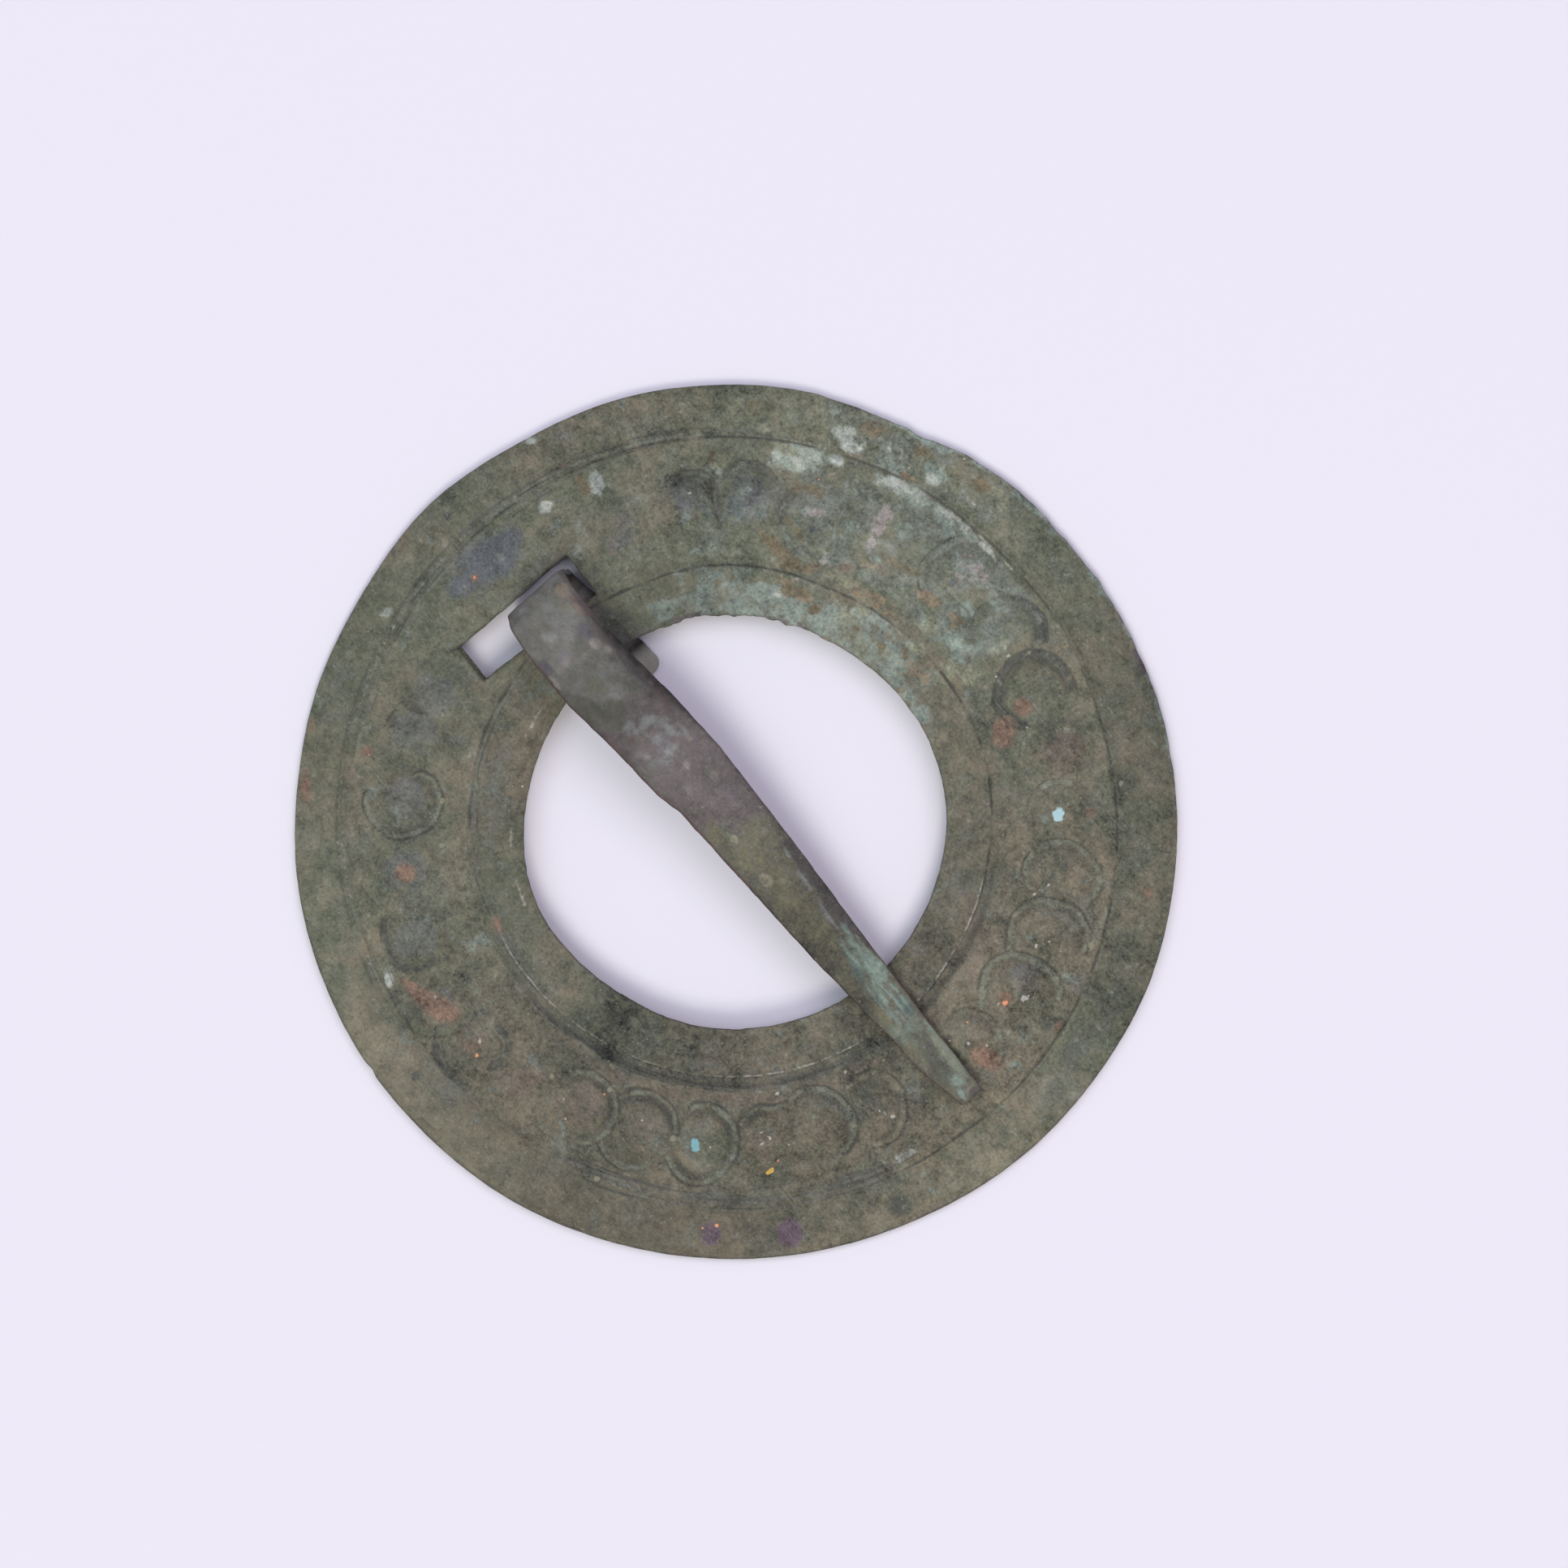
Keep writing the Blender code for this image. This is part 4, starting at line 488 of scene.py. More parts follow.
# ---------------------------------------------------------------- the ring's form
outer_line = around_table(OUTER_LINE)
vary_brim, vary_zone, vary_inner = around_table(VARY_BRIM), around_table(VARY_ZONE), around_table(VARY_INNER)
inner_line = around_table(INNER_LINE)
BOSS_AT = [(r * math.cos(math.radians(a)), r * math.sin(math.radians(a)), f) for a, r, f in BOSSES]


def circle3(angle, radius):
    return flat3(radius * np.cos(np.radians(angle)), radius * np.sin(np.radians(angle)))


def rim_radius(angle):
    """The outer edge, with its hand-cut waves, a shallow nick and fine unevenness."""
    at = circle3(angle, np.full_like(angle, 25.0))
    r = RING_RADIUS + waves(angle, OUTER_WAVES)
    r = r - 0.12 * bell(angle - 115.2, 1.3) + 0.08 * bell(angle - 109.0, 1.6) - 0.09 * bell(angle - 93.0, 1.2)
    r = r + 0.08 * bell(angle - 85.0, 1.5) - 0.10 * bell(angle - 265.0, 0.8) - 0.06 * bell(angle - 74.5, 2.0)
    rough = 0.35 + 0.65 * window(angle, 60, 125, 12)
    return r + rough * (0.06 * (noise(at, 0.9, 3) - 0.5) + 0.045 * (noise(at, 0.38, 4) - 0.5))


def hole_radius(angle):
    at = circle3(angle, np.full_like(angle, 11.85))
    ragged = window(angle, 121, 159, 8)
    r = HOLE_RADIUS + waves(angle, HOLE_WAVES)
    return r + (0.045 + 0.20 * ragged) * (noise(at, 0.62, 5) - 0.5) + (0.03 + 0.09 * ragged) * (noise(at, 0.3, 6) - 0.5)


def groove_width(angle):
    """The scored line beside the hole widens to a shallow channel on one side of the ring."""
    return 0.26 + 0.42 * window(angle, 266, 392, 22)


def wander(at):
    """How far a scored line strays sideways from its smooth course."""
    return 0.07 * (noise(at, 1.3, 25) - 0.5)


def underside(r):
    step = STEP_HEIGHT * smooth((BRIM_INNER - r) / STEP_WIDTH)
    run = BRIM_INNER - STEP_WIDTH - PLATEAU_RADIUS
    return step + (DISH - STEP_HEIGHT) * np.sin(math.pi / 2 * np.clip((BRIM_INNER - STEP_WIDTH - r) / run, 0, 1))


def domes(x, y, spread=1.0):
    """Height of the bosses, and how far from the nearest one's middle, as a share of its radius."""
    height, share, turn = np.zeros_like(x), np.full_like(x, 9.0), np.zeros_like(x)
    wobble = 0.10 * (noise(flat3(x, y), 1.1, 8) - 0.5)
    for cx, cy, kept in BOSS_AT:
        dx, dy = x - cx, y - cy
        q = np.hypot(dx, dy) / (BOSS_RADIUS * spread) + wobble
        np.maximum(height, BOSS_HEIGHT * kept * np.clip(1 - q * q, 0, 1) ** 1.35, out=height)
        nearer = q < share
        share = np.where(nearer, q, share)
        turn = np.where(nearer, np.degrees(np.arctan2(dy, dx)), turn)
    return height, share, turn


def kept_share(x, y):
    """How much of its height the nearest boss has kept."""
    best, kept = np.full_like(x, 99.0), np.zeros_like(x)
    for cx, cy, share in BOSS_AT:
        d = np.hypot(x - cx, y - cy)
        kept = np.where(d < best, share, kept)
        best = np.minimum(best, d)
    return kept


def curls(x, y):
    """The stamped curls: depth, lip, dark line, and the light band of each tint. Also the shift to the nearest line."""
    n = len(x)
    cut, lip, line = np.zeros(n), np.zeros(n), np.zeros(n)
    bands = {tint: np.zeros(n) for tint in ("green", "dark", "moss", "olive")}
    best, shift = np.full(n, 9.0), np.zeros((n, 2))
    for index, width, strength, tint, points in MARKS:
        cx, cy, _ = BOSS_AT[index]
        near = np.nonzero((x - cx) ** 2 + (y - cy) ** 2 < 3.8**2)[0]
        dx, dy = x[near] - cx, y[near] - cy
        rho = np.maximum(np.hypot(dx, dy), 1e-6)
        first, last = points[0][0], points[-1][0]
        middle = (first + last) / 2
        psi = (np.degrees(np.arctan2(dy, dx)) - middle + 180) % 360 - 180 + middle
        track = hermite(psi, [p[0] for p in points], [p[1] for p in points])
        along = np.stack([np.radians(psi) * 2.1, np.full(len(near), 1.7 * index + 0.3 * first), np.zeros(len(near))], 1)
        track = track + 0.09 * (noise(along, 0.45, 11) - 0.5)
        wide = 0.52 * width * (0.70 + 0.6 * noise(along, 0.8, 12))
        u = rho - track
        s = np.maximum(first - psi, psi - last) * math.pi / 180 * track
        c = 0.17
        d = np.hypot(np.maximum(u + c, 0), np.maximum(s + c, 0)) + np.minimum(np.maximum(u + c, s + c), 0) - c
        broken = noise(along, 0.7, 13)
        power = strength * (0.7 + 0.6 * broken)
        held = smooth(-s / 0.35 + 0.4)
        inner = u + wide + 0.20
        deep = power * (0.055 * bell(d, 0.085) + 0.075 * bell(inner, 0.17) * held)
        cut[near] = np.maximum(cut[near], deep)
        lumps = noise(np.stack([x[near], y[near], np.zeros(len(near))], 1), 0.36, 14)
        raised = power * (0.016 * bell(d - 0.16, 0.08) + 0.055 * lumps * bell(u + 0.5 * wide + 0.03, 0.55 * wide) * held)
        lip[near] = np.maximum(lip[near], raised)
        inner_fade = 1 - 0.7 * smooth((-u - 0.3 * wide) / (0.6 * wide))
        strength = min(1.0, strength * 1.35) if tint == "dark" else strength
        dark = strength * (0.50 + 0.95 * broken) * bell(d, 0.085) * inner_fade
        dark = np.maximum(dark, strength * (0.35 + 0.45 * noise(along, 1.1, 15)) * bell(inner, 0.21) * held)
        line[near] = np.maximum(line[near], dark)
        band = smooth((-d - 0.02) / 0.10) * (1 - smooth((-u - wide) / 0.14)) * min(1.0, strength * 1.1) * (0.40 + 0.75 * lumps + 0.45 * broken)
        band = band * (0.5 if tint == "dark" and width < 0.5 else 1.0)
        bands[tint][near] = np.maximum(bands[tint][near], band)
        hit = (s < -0.05) & (np.abs(u) < best[near])
        where = near[hit]
        best[where] = np.abs(u[hit])
        shift[where, 0], shift[where, 1] = -u[hit] * dx[hit] / rho[hit], -u[hit] * dy[hit] / rho[hit]
    return cut, lip, line, bands, best, shift


def slot_distance(x, y):
    """Distance outside the slot's outline, with its side: 0 left end, 1 inner side, 2 right end, 3 outer side."""
    far, side = np.full_like(x, -9.0), np.zeros(len(x), int)
    for k in range(4):
        (ax, ay), (bx, by) = SLOT[k], SLOT[(k + 1) % 4]
        length = math.hypot(bx - ax, by - ay)
        out = ((x - ax) * (by - ay) - (y - ay) * (bx - ax)) / length
        side = np.where(out > far, k, side)
        far = np.maximum(far, out)
    return far, side


SMALL = ("yellow", "cyan", "teal", "gold", "glint", "spark")
PITS = np.random.default_rng(7).random((300, 5))


def pits(x, y):
    """Small corrosion pits and a few grains that stand up."""
    out = np.zeros_like(x)
    for a, b, c, d, e in PITS:
        radius, angle = math.sqrt(12.2**2 + a * (24.8**2 - 12.2**2)), 2 * math.pi * b
        px, py = radius * math.cos(angle), radius * math.sin(angle)
        wide = 0.14 + 0.20 * c * c
        near = np.nonzero((np.abs(x - px) < 3 * wide) & (np.abs(y - py) < 3 * wide))[0]
        depth = (0.02 + 0.045 * d) * (-1 if e > 0.22 else 0.8)
        out[near] += depth * bell(np.hypot(x[near] - px, y[near] - py), wide)
    return out


def face_height(x, y):
    """Height of the ring's upper surface, mm."""
    r, angle = np.hypot(x, y), np.degrees(np.arctan2(y, x))
    edge = outer_line(angle)
    rise = np.clip((edge - r) / (edge - PLATEAU_RADIUS), 0, 1)
    z = SHEET + STEP_HEIGHT * smooth((edge + 0.32 - r) / 0.30) + (DISH - STEP_HEIGHT) * np.sin(math.pi / 2 * rise)
    at = flat3(x, y)
    z += 0.040 * (noise(at, 2.6, 21) - 0.5) + 0.020 * (noise(at, 0.9, 22) - 0.5) + 0.014 * (noise(at, 0.42, 23) - 0.5)
    height, _, _ = domes(x, y)
    z += height
    cut, lip, _, _, _, _ = curls(x, y)
    z += lip - cut
    # The outer scored line, doubled along one stretch
    strength = 0.55 + 0.8 * noise(at, 1.6, 24)
    soft = window(angle, -62, -18, 10)
    z -= 0.065 * (1 - 0.7 * soft) * strength * bell(r - edge - wander(at), 0.085)
    z -= soft * 0.05 * bell(r - edge + 0.35, 0.7) * noise(np.stack([np.radians(angle) * 22 / 3.5, r, np.zeros_like(r)], 1), 0.42, 59)
    z += 0.025 * strength * (bell(r - edge - 0.18, 0.10) + bell(r - edge + 0.18, 0.10))
    double = window(angle, 151, 252, 12) * (1 - 0.4 * window(angle, 190, 215, 8))
    z += double * strength * (0.05 * bell(r - edge + 0.02 - 0.30, 0.12) - 0.05 * bell(r - edge - 0.52, 0.12))
    # The inner one, a channel with a crisp inner side and a soft outer one
    line, wide = inner_line(angle), groove_width(angle)
    u = r - line
    depth = 0.06 + 0.05 * window(angle, 262, 396, 20) - 0.03 * window(angle, 192, 276, 15)
    z -= depth * strength * smooth((u + 0.02) / 0.09) * smooth((wide + 0.1 - u) / (0.55 * wide + 0.06))
    z += 0.025 * strength * bell(u + 0.07, 0.07)
    # Hammered bevel beside the hole
    z -= 0.30 * window(angle, 195, 250, 8) * smooth((12.73 - r) / 0.85)
    z += pits(x, y)
    z -= 0.26 * smooth((0.85 - (rim_radius(angle) - r)) / 0.85)
    # The slot's worn sides, and the chisel's overrun at one corner
    far, side = slot_distance(x, y)
    z -= np.where(side == 0, 0.50 * smooth((0.24 - far) / 0.24), 0.08 * smooth((0.16 - far) / 0.16))
    t = np.clip(((x + 17.63) * -0.24 + (y + 5.72) * -0.81) / (0.24**2 + 0.81**2), 0, 1)
    off = np.hypot(x + 17.63 + 0.24 * t, y + 5.72 + 0.81 * t)
    z -= 0.16 * (1 - 0.6 * t) * bell(off, 0.10)
    return z


def below_height(x, y, r):
    """Height of the underside: smoother, with a hollow behind each boss."""
    hollow, _, _ = domes(x, y, 0.94)
    at = flat3(x, y) + 90.0
    z = underside(r) + 0.85 * hollow
    return np.maximum(z + 0.05 * (layered(at, 2.6, 31) - 0.5) + 0.02 * (noise(at, 0.9, 33) - 0.5), 0.0)


COLUMNS = 880
COARSE = 220


def make_ring_mesh():
    angle = np.arange(COLUMNS) * 360 / COLUMNS
    rim, hole = rim_radius(angle), hole_radius(angle)
    line_in, line_out = inner_line(angle), outer_line(angle)
    rows = [hole + 0.07 + (line_in - 0.30 - hole - 0.07) * k / 12 for k in range(12)]
    rows += [line_in + off for off in (-0.30, -0.18, -0.08, -0.01, 0.07, 0.17, 0.30, 0.44, 0.58, 0.72)]
    rows += [line_in + 0.72 + (line_out - 0.34 - line_in - 0.72) * k / 51 for k in range(1, 51)]
    rows += [line_out + off for off in (-0.34, -0.21, -0.10, 0.0, 0.10, 0.21, 0.34)]
    rows += [line_out + 0.34 + (rim - 0.08 - line_out - 0.34) * k / 12 for k in range(1, 13)]
    radius = np.stack(rows)
    turn = np.broadcast_to(np.radians(angle), radius.shape)
    x, y = (radius * np.cos(turn)).ravel(), (radius * np.sin(turn)).ravel()
    # Points close to a curl's edge move onto it, so that the edge is crisp
    _, _, _, _, gap, shift = curls(x, y)
    move = gap < 0.062
    x[move] += shift[move, 0]
    y[move] += shift[move, 1]
    z = face_height(x, y)
    top = np.stack([x, y, z], 1)
    count = len(rows)

    def ring_of(r, height):
        a = np.radians(np.arange(len(r)) * 360 / len(r))
        return np.stack([r * np.cos(a), r * np.sin(a), height], 1)

    def at_top(r):
        a = np.radians(angle)
        return face_height(r * np.cos(a), r * np.sin(a))

    def at_bottom(r, angles):
        a = np.radians(angles)
        hole_r, rim_r = hole_radius(angles), rim_radius(angles)
        share = (r - hole_r) / (rim_r - hole_r)
        plain = HOLE_RADIUS + (RING_RADIUS - HOLE_RADIUS) * share
        return below_height(r * np.cos(a), r * np.sin(a), plain)

    rim_top, rim_low = at_top(rim - 0.08), at_bottom(rim - 0.1, angle)
    hole_top, hole_low = at_top(hole + 0.07), at_bottom(hole + 0.1, angle)
    bands = [ring_of(rim - 0.022, rim_top - 0.022), ring_of(rim, rim_top - 0.11), ring_of(rim - 0.005, rim_low + 0.14)]
    coarse_angle = np.arange(COARSE) * 360 / COARSE
    rim_c, hole_c = rim_radius(coarse_angle), hole_radius(coarse_angle)
    lower = []
    for k in range(34):
        r = rim_c - 0.10 - (rim_c - hole_c - 0.20) * k / 33
        lower.append(ring_of(r, at_bottom(r, coarse_angle)))
    inner = [ring_of(hole + 0.005, hole_low + 0.14), ring_of(hole, hole_top - 0.12), ring_of(hole + 0.02, hole_top - 0.025)]
    points = np.concatenate([top, *bands, *lower, *inner])

    def quads(a, b, size):
        j = np.arange(size)
        k = (j + 1) % size
        return np.stack([a + j, b + j, b + k, a + k], 1).tolist()

    faces, start = [], 0
    for i in range(count + 2):
        faces += quads(i * COLUMNS, (i + 1) * COLUMNS, COLUMNS)
    fine = (count + 2) * COLUMNS
    low = fine + COLUMNS
    for j in range(COARSE):
        f = [fine + (4 * j + m) % COLUMNS for m in range(5)]
        a, b = low + j, low + (j + 1) % COARSE
        faces += [(f[0], a, f[1]), (f[1], a, f[2]), (f[2], a, b), (f[2], b, f[3]), (f[3], b, f[4])]
    for k in range(33):
        faces += quads(low + k * COARSE, low + (k + 1) * COARSE, COARSE)
    last = low + 33 * COARSE
    up = last + COARSE
    for j in range(COARSE):
        f = [up + (4 * j + m) % COLUMNS for m in range(5)]
        a, b = last + j, last + (j + 1) % COARSE
        faces += [(a, f[0], f[1]), (a, f[1], f[2]), (a, f[2], b), (b, f[2], f[3]), (b, f[3], f[4])]
    faces += quads(up, up + COLUMNS, COLUMNS) + quads(up + COLUMNS, up + 2 * COLUMNS, COLUMNS)
    faces += quads(up + 2 * COLUMNS, 0, COLUMNS)
    mesh = bpy.data.meshes.new("ring")
    mesh.from_pydata((points * MM).tolist(), [], faces)
    mesh.validate()
    return mesh


def slot_cutter():
    """A prism through the sheet, with sides as uneven as a chisel leaves them."""
    outline = []
    for k in range(4):
        (ax, ay), (bx, by) = SLOT[k], SLOT[(k + 1) % 4]
        length = math.hypot(bx - ax, by - ay)
        steps = max(3, round(length / 0.35))
        for i in range(steps):
            t = i / steps
            off = 0.0 if i == 0 else 0.09 * (float(noise(np.array([[ax + (bx - ax) * t, ay + (by - ay) * t, 0.0]]), 0.5, 41)[0]) - 0.5)
            outline.append((ax + (bx - ax) * t + off * (by - ay) / length, ay + (by - ay) * t - off * (bx - ax) / length))
    n = len(outline)
    points = [(x * MM, y * MM, -1.5 * MM) for x, y in outline] + [(x * MM, y * MM, 4 * MM) for x, y in outline]
    faces = [tuple(reversed(range(n))), tuple(range(n, 2 * n))]
    faces += [(i, (i + 1) % n, n + (i + 1) % n, n + i) for i in range(n)]
    mesh = bpy.data.meshes.new("slot_cutter")
    mesh.from_pydata(points, [], faces)
    return mesh


def make_ring():
    ring = bpy.data.objects.new("ring", make_ring_mesh())
    cutter = bpy.data.objects.new("slot_cutter", slot_cutter())
    for obj in (ring, cutter):
        bpy.context.scene.collection.objects.link(obj)
    cut = ring.modifiers.new("Slot", "BOOLEAN")
    cut.operation, cut.object, cut.solver = "DIFFERENCE", cutter, "EXACT"
    graph = bpy.context.evaluated_depsgraph_get()
    mesh = bpy.data.meshes.new_from_object(ring.evaluated_get(graph), depsgraph=graph)
    ring.modifiers.clear()
    ring.data = mesh
    mesh.name = "ring"
    bpy.data.objects.remove(cutter)
    paint_ring(mesh)
    mesh.shade_smooth()
    mesh.set_sharp_from_angle(angle=math.radians(72))
    return ring


def paint_ring(mesh):
    """Where each stain, band and dark line lies, with the painted shade and highlights, as a number at each vertex. The
    material adds the fine grain.
    """
    co = np.zeros(len(mesh.vertices) * 3)
    mesh.vertices.foreach_get("co", co)
    co = co.reshape(-1, 3) / MM
    x, y, z = co.T
    r, angle = np.hypot(x, y), np.degrees(np.arctan2(y, x))
    face = smooth((z - underside(r) - 0.22) / 0.25)
    at = flat3(x, y)
    cut, lip, line, bands, _, _ = curls(x, y)
    height, share, turn = domes(x, y)
    got = {kind: ellipses(x, y, items) for kind, items in PATCHES.items() if kind not in SMALL}
    for kind in SMALL:
        values = spots(x, y, PATCHES[kind], 0.62 if kind in ("glint", "spark") else 0.95)
        values[:, 2] *= face > 0.5
        mesh.attributes.new(kind, "FLOAT_VECTOR", "POINT").data.foreach_set("vector", values.ravel().astype(np.float32))
    for kind, items in SECTORS.items():
        got[kind] = np.maximum(got.get(kind, 0), sectors(angle, r, items))

    edge, uneven = outer_line(angle), 0.5 + noise(at, 1.7, 51)
    u, inner_u = r - edge, r - inner_line(angle)
    soft = window(angle, -62, -18, 10)
    crisp = 0.72 + 0.25 * window(angle, 330, 400, 15) - 0.42 * window(angle, 196, 285, 12)
    broken = 0.50 + 1.0 * smooth((noise(at, 1.1, 60) - 0.25) / 0.4)
    outer_dark = crisp * (1 - 0.75 * soft) * bell(u - wander(at), 0.065) * broken
    outer_dark = np.maximum(outer_dark, 0.32 * (1 - soft) * bell(u, 0.17) * uneven)
    polar = np.stack([np.radians(angle) * 22 / 3.5, r, np.zeros_like(r)], 1)
    streak = noise(polar, 0.42, 59)
    outer_dark = np.maximum(outer_dark, soft * 0.35 * bell(u + 0.35, 0.60) * smooth((streak - 0.38) / 0.3))
    got["streak"] = 0.50 * soft * bell(u + 0.35, 0.80)
    left_side = window(angle, -168, -84, 15)
    got["streak"] = np.maximum(got["streak"], left_side * np.maximum(0.32 * bell(inner_u + 0.1, 0.62), 0.24 * bell(u + 0.1, 0.75)) * (0.5 + noise(at, 1.5, 69)))
    got["streak"] = np.maximum(got["streak"], 0.60 * window(angle, -84, -8, 15) * bell(inner_u - 0.55, 0.42))
    got["streak"] = np.maximum(got["streak"], 0.34 * window(angle, 141, 192, 10) * bell(u - 0.25, 0.6))
    outer_dark = np.maximum(outer_dark, 0.6 * window(angle, 151, 252, 12) * bell(u - 0.52, 0.14) * uneven)
    channel = window(angle, 266, 392, 22)
    ragged = 0.35 + 1.3 * noise(at, 0.38, 91)
    inner_dark = (0.85 - 0.30 * channel - 0.30 * window(angle, 215, 262, 10) - 0.25 * window(angle, 190, 218, 8)) * bell(inner_u - 0.06 - 0.12 * (noise(at, 0.6, 92) - 0.5), 0.075) * broken * ragged
    inner_dark = np.maximum(inner_dark, 0.28 * bell(inner_u - 0.10, 0.16) * uneven)
    # The channel's darker outer side is painted shade of the wall turned away from the key light
    inner_dark = np.maximum(inner_dark, channel * (0.55 * bell(inner_u - 0.52, 0.20) + 0.25 * bell(inner_u - 0.25, 0.2)) * uneven)
    got["line"] = np.maximum(line, np.maximum(outer_dark, inner_dark))
    shine = (0.8 * window(angle, 196, 250, 6) * bell(r - 12.78, 0.07) * smooth((noise(at, 0.8, 53) - 0.35) / 0.3))
    shine = np.maximum(shine, 0.50 * window(angle, 151, 252, 12) * bell(u - 0.26, 0.09) * smooth((noise(at, 0.9, 54) - 0.3) / 0.4))
    taper = smooth((angle - 92) / 14)
    shine = np.maximum(shine, 0.95 * window(angle, 94, 115, 2.5) * bell(u + 0.20, 0.05 + 0.07 * taper) * smooth((noise(at, 0.7, 68) - 0.22) / 0.3))
    shine = np.maximum(shine, 0.80 * window(angle, 98, 132, 4) * bell(inner_u + 0.13, 0.055) * smooth((noise(at, 0.7, 70) - 0.3) / 0.3))
    got["shine"] = shine
    got["turq"] = np.maximum(got["turq"], 0.85 * window(angle, 101, 118, 3) * bell(u + 0.50, 0.30))
    attribute(mesh, "channel", np.clip(inner_u, -2, 2))
    # Where the bright crest beside the channel shows: worn metal with a painted highlight
    attribute(mesh, "crest", window(angle, 262, 396, 10) * face * (0.35 + 0.75 * smooth((noise(at, 1.0, 52) - 0.2) / 0.5)))
    fringe = 0.75 * (window(angle, 20, 66, 10) * bell(u - 0.20, 0.13)) * uneven
    fringe = np.maximum(fringe, 0.5 * window(angle, 66, 400, 10) * bell(u + 0.18, 0.10) * smooth((noise(at, 2.1, 55) - 0.4) / 0.3))
    fringe = np.maximum(fringe, 0.95 * window(angle, 146, 215, 10) * bell(u - 0.24, 0.13) * (0.4 + 1.1 * noise(at, 0.9, 93)))
    fringe = np.maximum(fringe, 0.90 * window(angle, 186, 226, 8) * bell(inner_u + 0.14, 0.13) * (0.3 + 1.3 * noise(at, 0.8, 94)))
    got["band"] = np.maximum(bands["green"], fringe)
    got["crescent"] = bands["dark"]
    got["moss"] = np.maximum(got["moss"], bands["moss"])
    got["olive"] = np.maximum(got["olive"], bands["olive"])
    # Dark round the foot of each boss: dirt, with painted shade heavier on the side towards +Y, which faces away from
    # the key and side lights
    turned_from_light = np.clip(np.cos(np.radians(turn - 96)), 0, 1)
    kept = np.maximum(kept_share(x, y), 0.55)
    got["foot"] = 0.80 * bell(share - 1.02, 0.16) * (0.45 + 0.55 * turned_from_light) * (0.4 + 1.2 * noise(at, 1.2, 58)) * kept
    cool = window(angle, 120, 262, 12)
    got["grey"] = (0.62 * cool + 0.22) * smooth((1.0 - share) / 0.55) * (0.4 + 1.1 * noise(at, 1.6, 67))
    # Rim and hole edge
    rim, hole = rim_radius(angle), hole_radius(angle)
    got["rim"] = np.maximum(
        bell(rim - r, 0.11) * (0.35 + 0.55 * window(angle, -112, 24, 15)),
        bell(r - hole, 0.09) * 0.55,
    ) * (0.6 + 0.8 * noise(at, 0.8, 56))
    got["turq"] = np.maximum(got["turq"], 0.70 * window(angle, 55, 118, 6) * bell(rim - r, 0.22) * (0.5 + noise(at, 0.6, 57)))
    # Painted shade along the slot's walls and in the shadowed hammer marks beside it
    far, side = slot_distance(x, y)
    slot_painted_shade = np.where(side == 0, 0.5 * smooth((0.28 - far) / 0.10), np.where(side == 3, smooth((0.15 - far) / 0.08) * (0.6 + 0.4 * smooth((y + 2) / 3)), 0.7 * smooth((0.12 - far) / 0.08)))
    t = np.clip(((x + 17.63) * -0.24 + (y + 5.72) * -0.81) / (0.24**2 + 0.81**2), 0, 1)
    notch = bell(np.hypot(x + 17.63 + 0.24 * t, y + 5.72 + 0.81 * t), 0.11)
    got["line"] = np.maximum(got["line"], np.maximum(slot_painted_shade * smooth((0.5 - far) / 0.1), notch))

    # Warmer and cooler, lighter and darker stretches
    zone, inside = (r > 15.2) & (r < edge), r <= 15.2
    warm = np.where(zone, 0.70 * window(angle, -84, 40, 25) + 0.35 * window(angle, -150, -112, 15), np.where(inside, 0.60 * window(angle, -39, 108, 22) + 0.30 * window(angle, -170, -130, 15), 0.95 * window(angle, -92, -40, 18) + 0.35 * window(angle, -20, 6, 15)))
    warm = warm - 0.30 * window(angle, 96, 141, 20)
    on_zone = -0.20 * window(angle, -99, -12, 12) - 0.05 * window(angle, -6, 16, 10) - 0.07 * window(angle, 22, 50, 10) + 0.07 * window(angle, 82, 138, 12)
    on_inner = -0.19 * window(angle, -97, -71, 8) - 0.08 * window(angle, -157, -101, 8) - 0.36 * window(angle, -70, -42, 10) - 0.14 * window(angle, -36, -12, 8) - 0.30 * window(angle, -6, 20, 8) - 0.10 * window(angle, 26, 50, 8) - 0.14 * window(angle, 143, 170, 10) - 0.13 * window(angle, 202, 228, 10)
    on_brim = 0.05 * window(angle, -130, -99, 15) - 0.06 * window(angle, -96, -72, 10) - 0.20 * window(angle, -64, -14, 10) + 0.08 * window(angle, -6, 16, 8) - 0.25 * window(angle, 26, 78, 10) + 0.07 * window(angle, 110, 138, 12) - 0.09 * window(angle, 142, 170, 8) - 0.10 * window(angle, 146, 226, 12)
    tone = np.where(zone, on_zone, np.where(inside, on_inner, on_brim))
    for index, lighter in BOSS_TONE:
        cx, cy, _ = BOSS_AT[index]
        tone = tone + lighter * smooth((1.18 - np.hypot(x - cx, y - cy) / BOSS_RADIUS) / 0.5)
    attribute(mesh, "vary", np.where(zone, vary_zone(angle), np.where(inside, vary_inner(angle), vary_brim(angle))))
    streaks = window(angle, -165, -84, 18) * (bell(inner_u - 0.5, 0.75) + 0.8 * bell(u + 0.15, 0.85))
    streaks = np.maximum(streaks, 0.5 * bell(inner_u - 0.3, 0.8))
    tone = tone + 0.22 * streaks * (noise(polar, 0.36, 65) - 0.5) + 0.10 * (noise(polar, 0.55, 66) - 0.5)
    attribute(mesh, "warm", warm)
    attribute(mesh, "tone", tone * face)
    back = 1 - face
    hidden = {"turq": 0.55 * layered(at + 40, 3.2, 61), "brown": 0.62 * layered(at + 40, 4.0, 62), "dark": 0.55 * layered(at + 40, 2.0, 63), "olive": 0.6 * layered(at + 40, 5.0, 64)}
    for kind, values in got.items():
        values = values * face
        if kind in hidden:
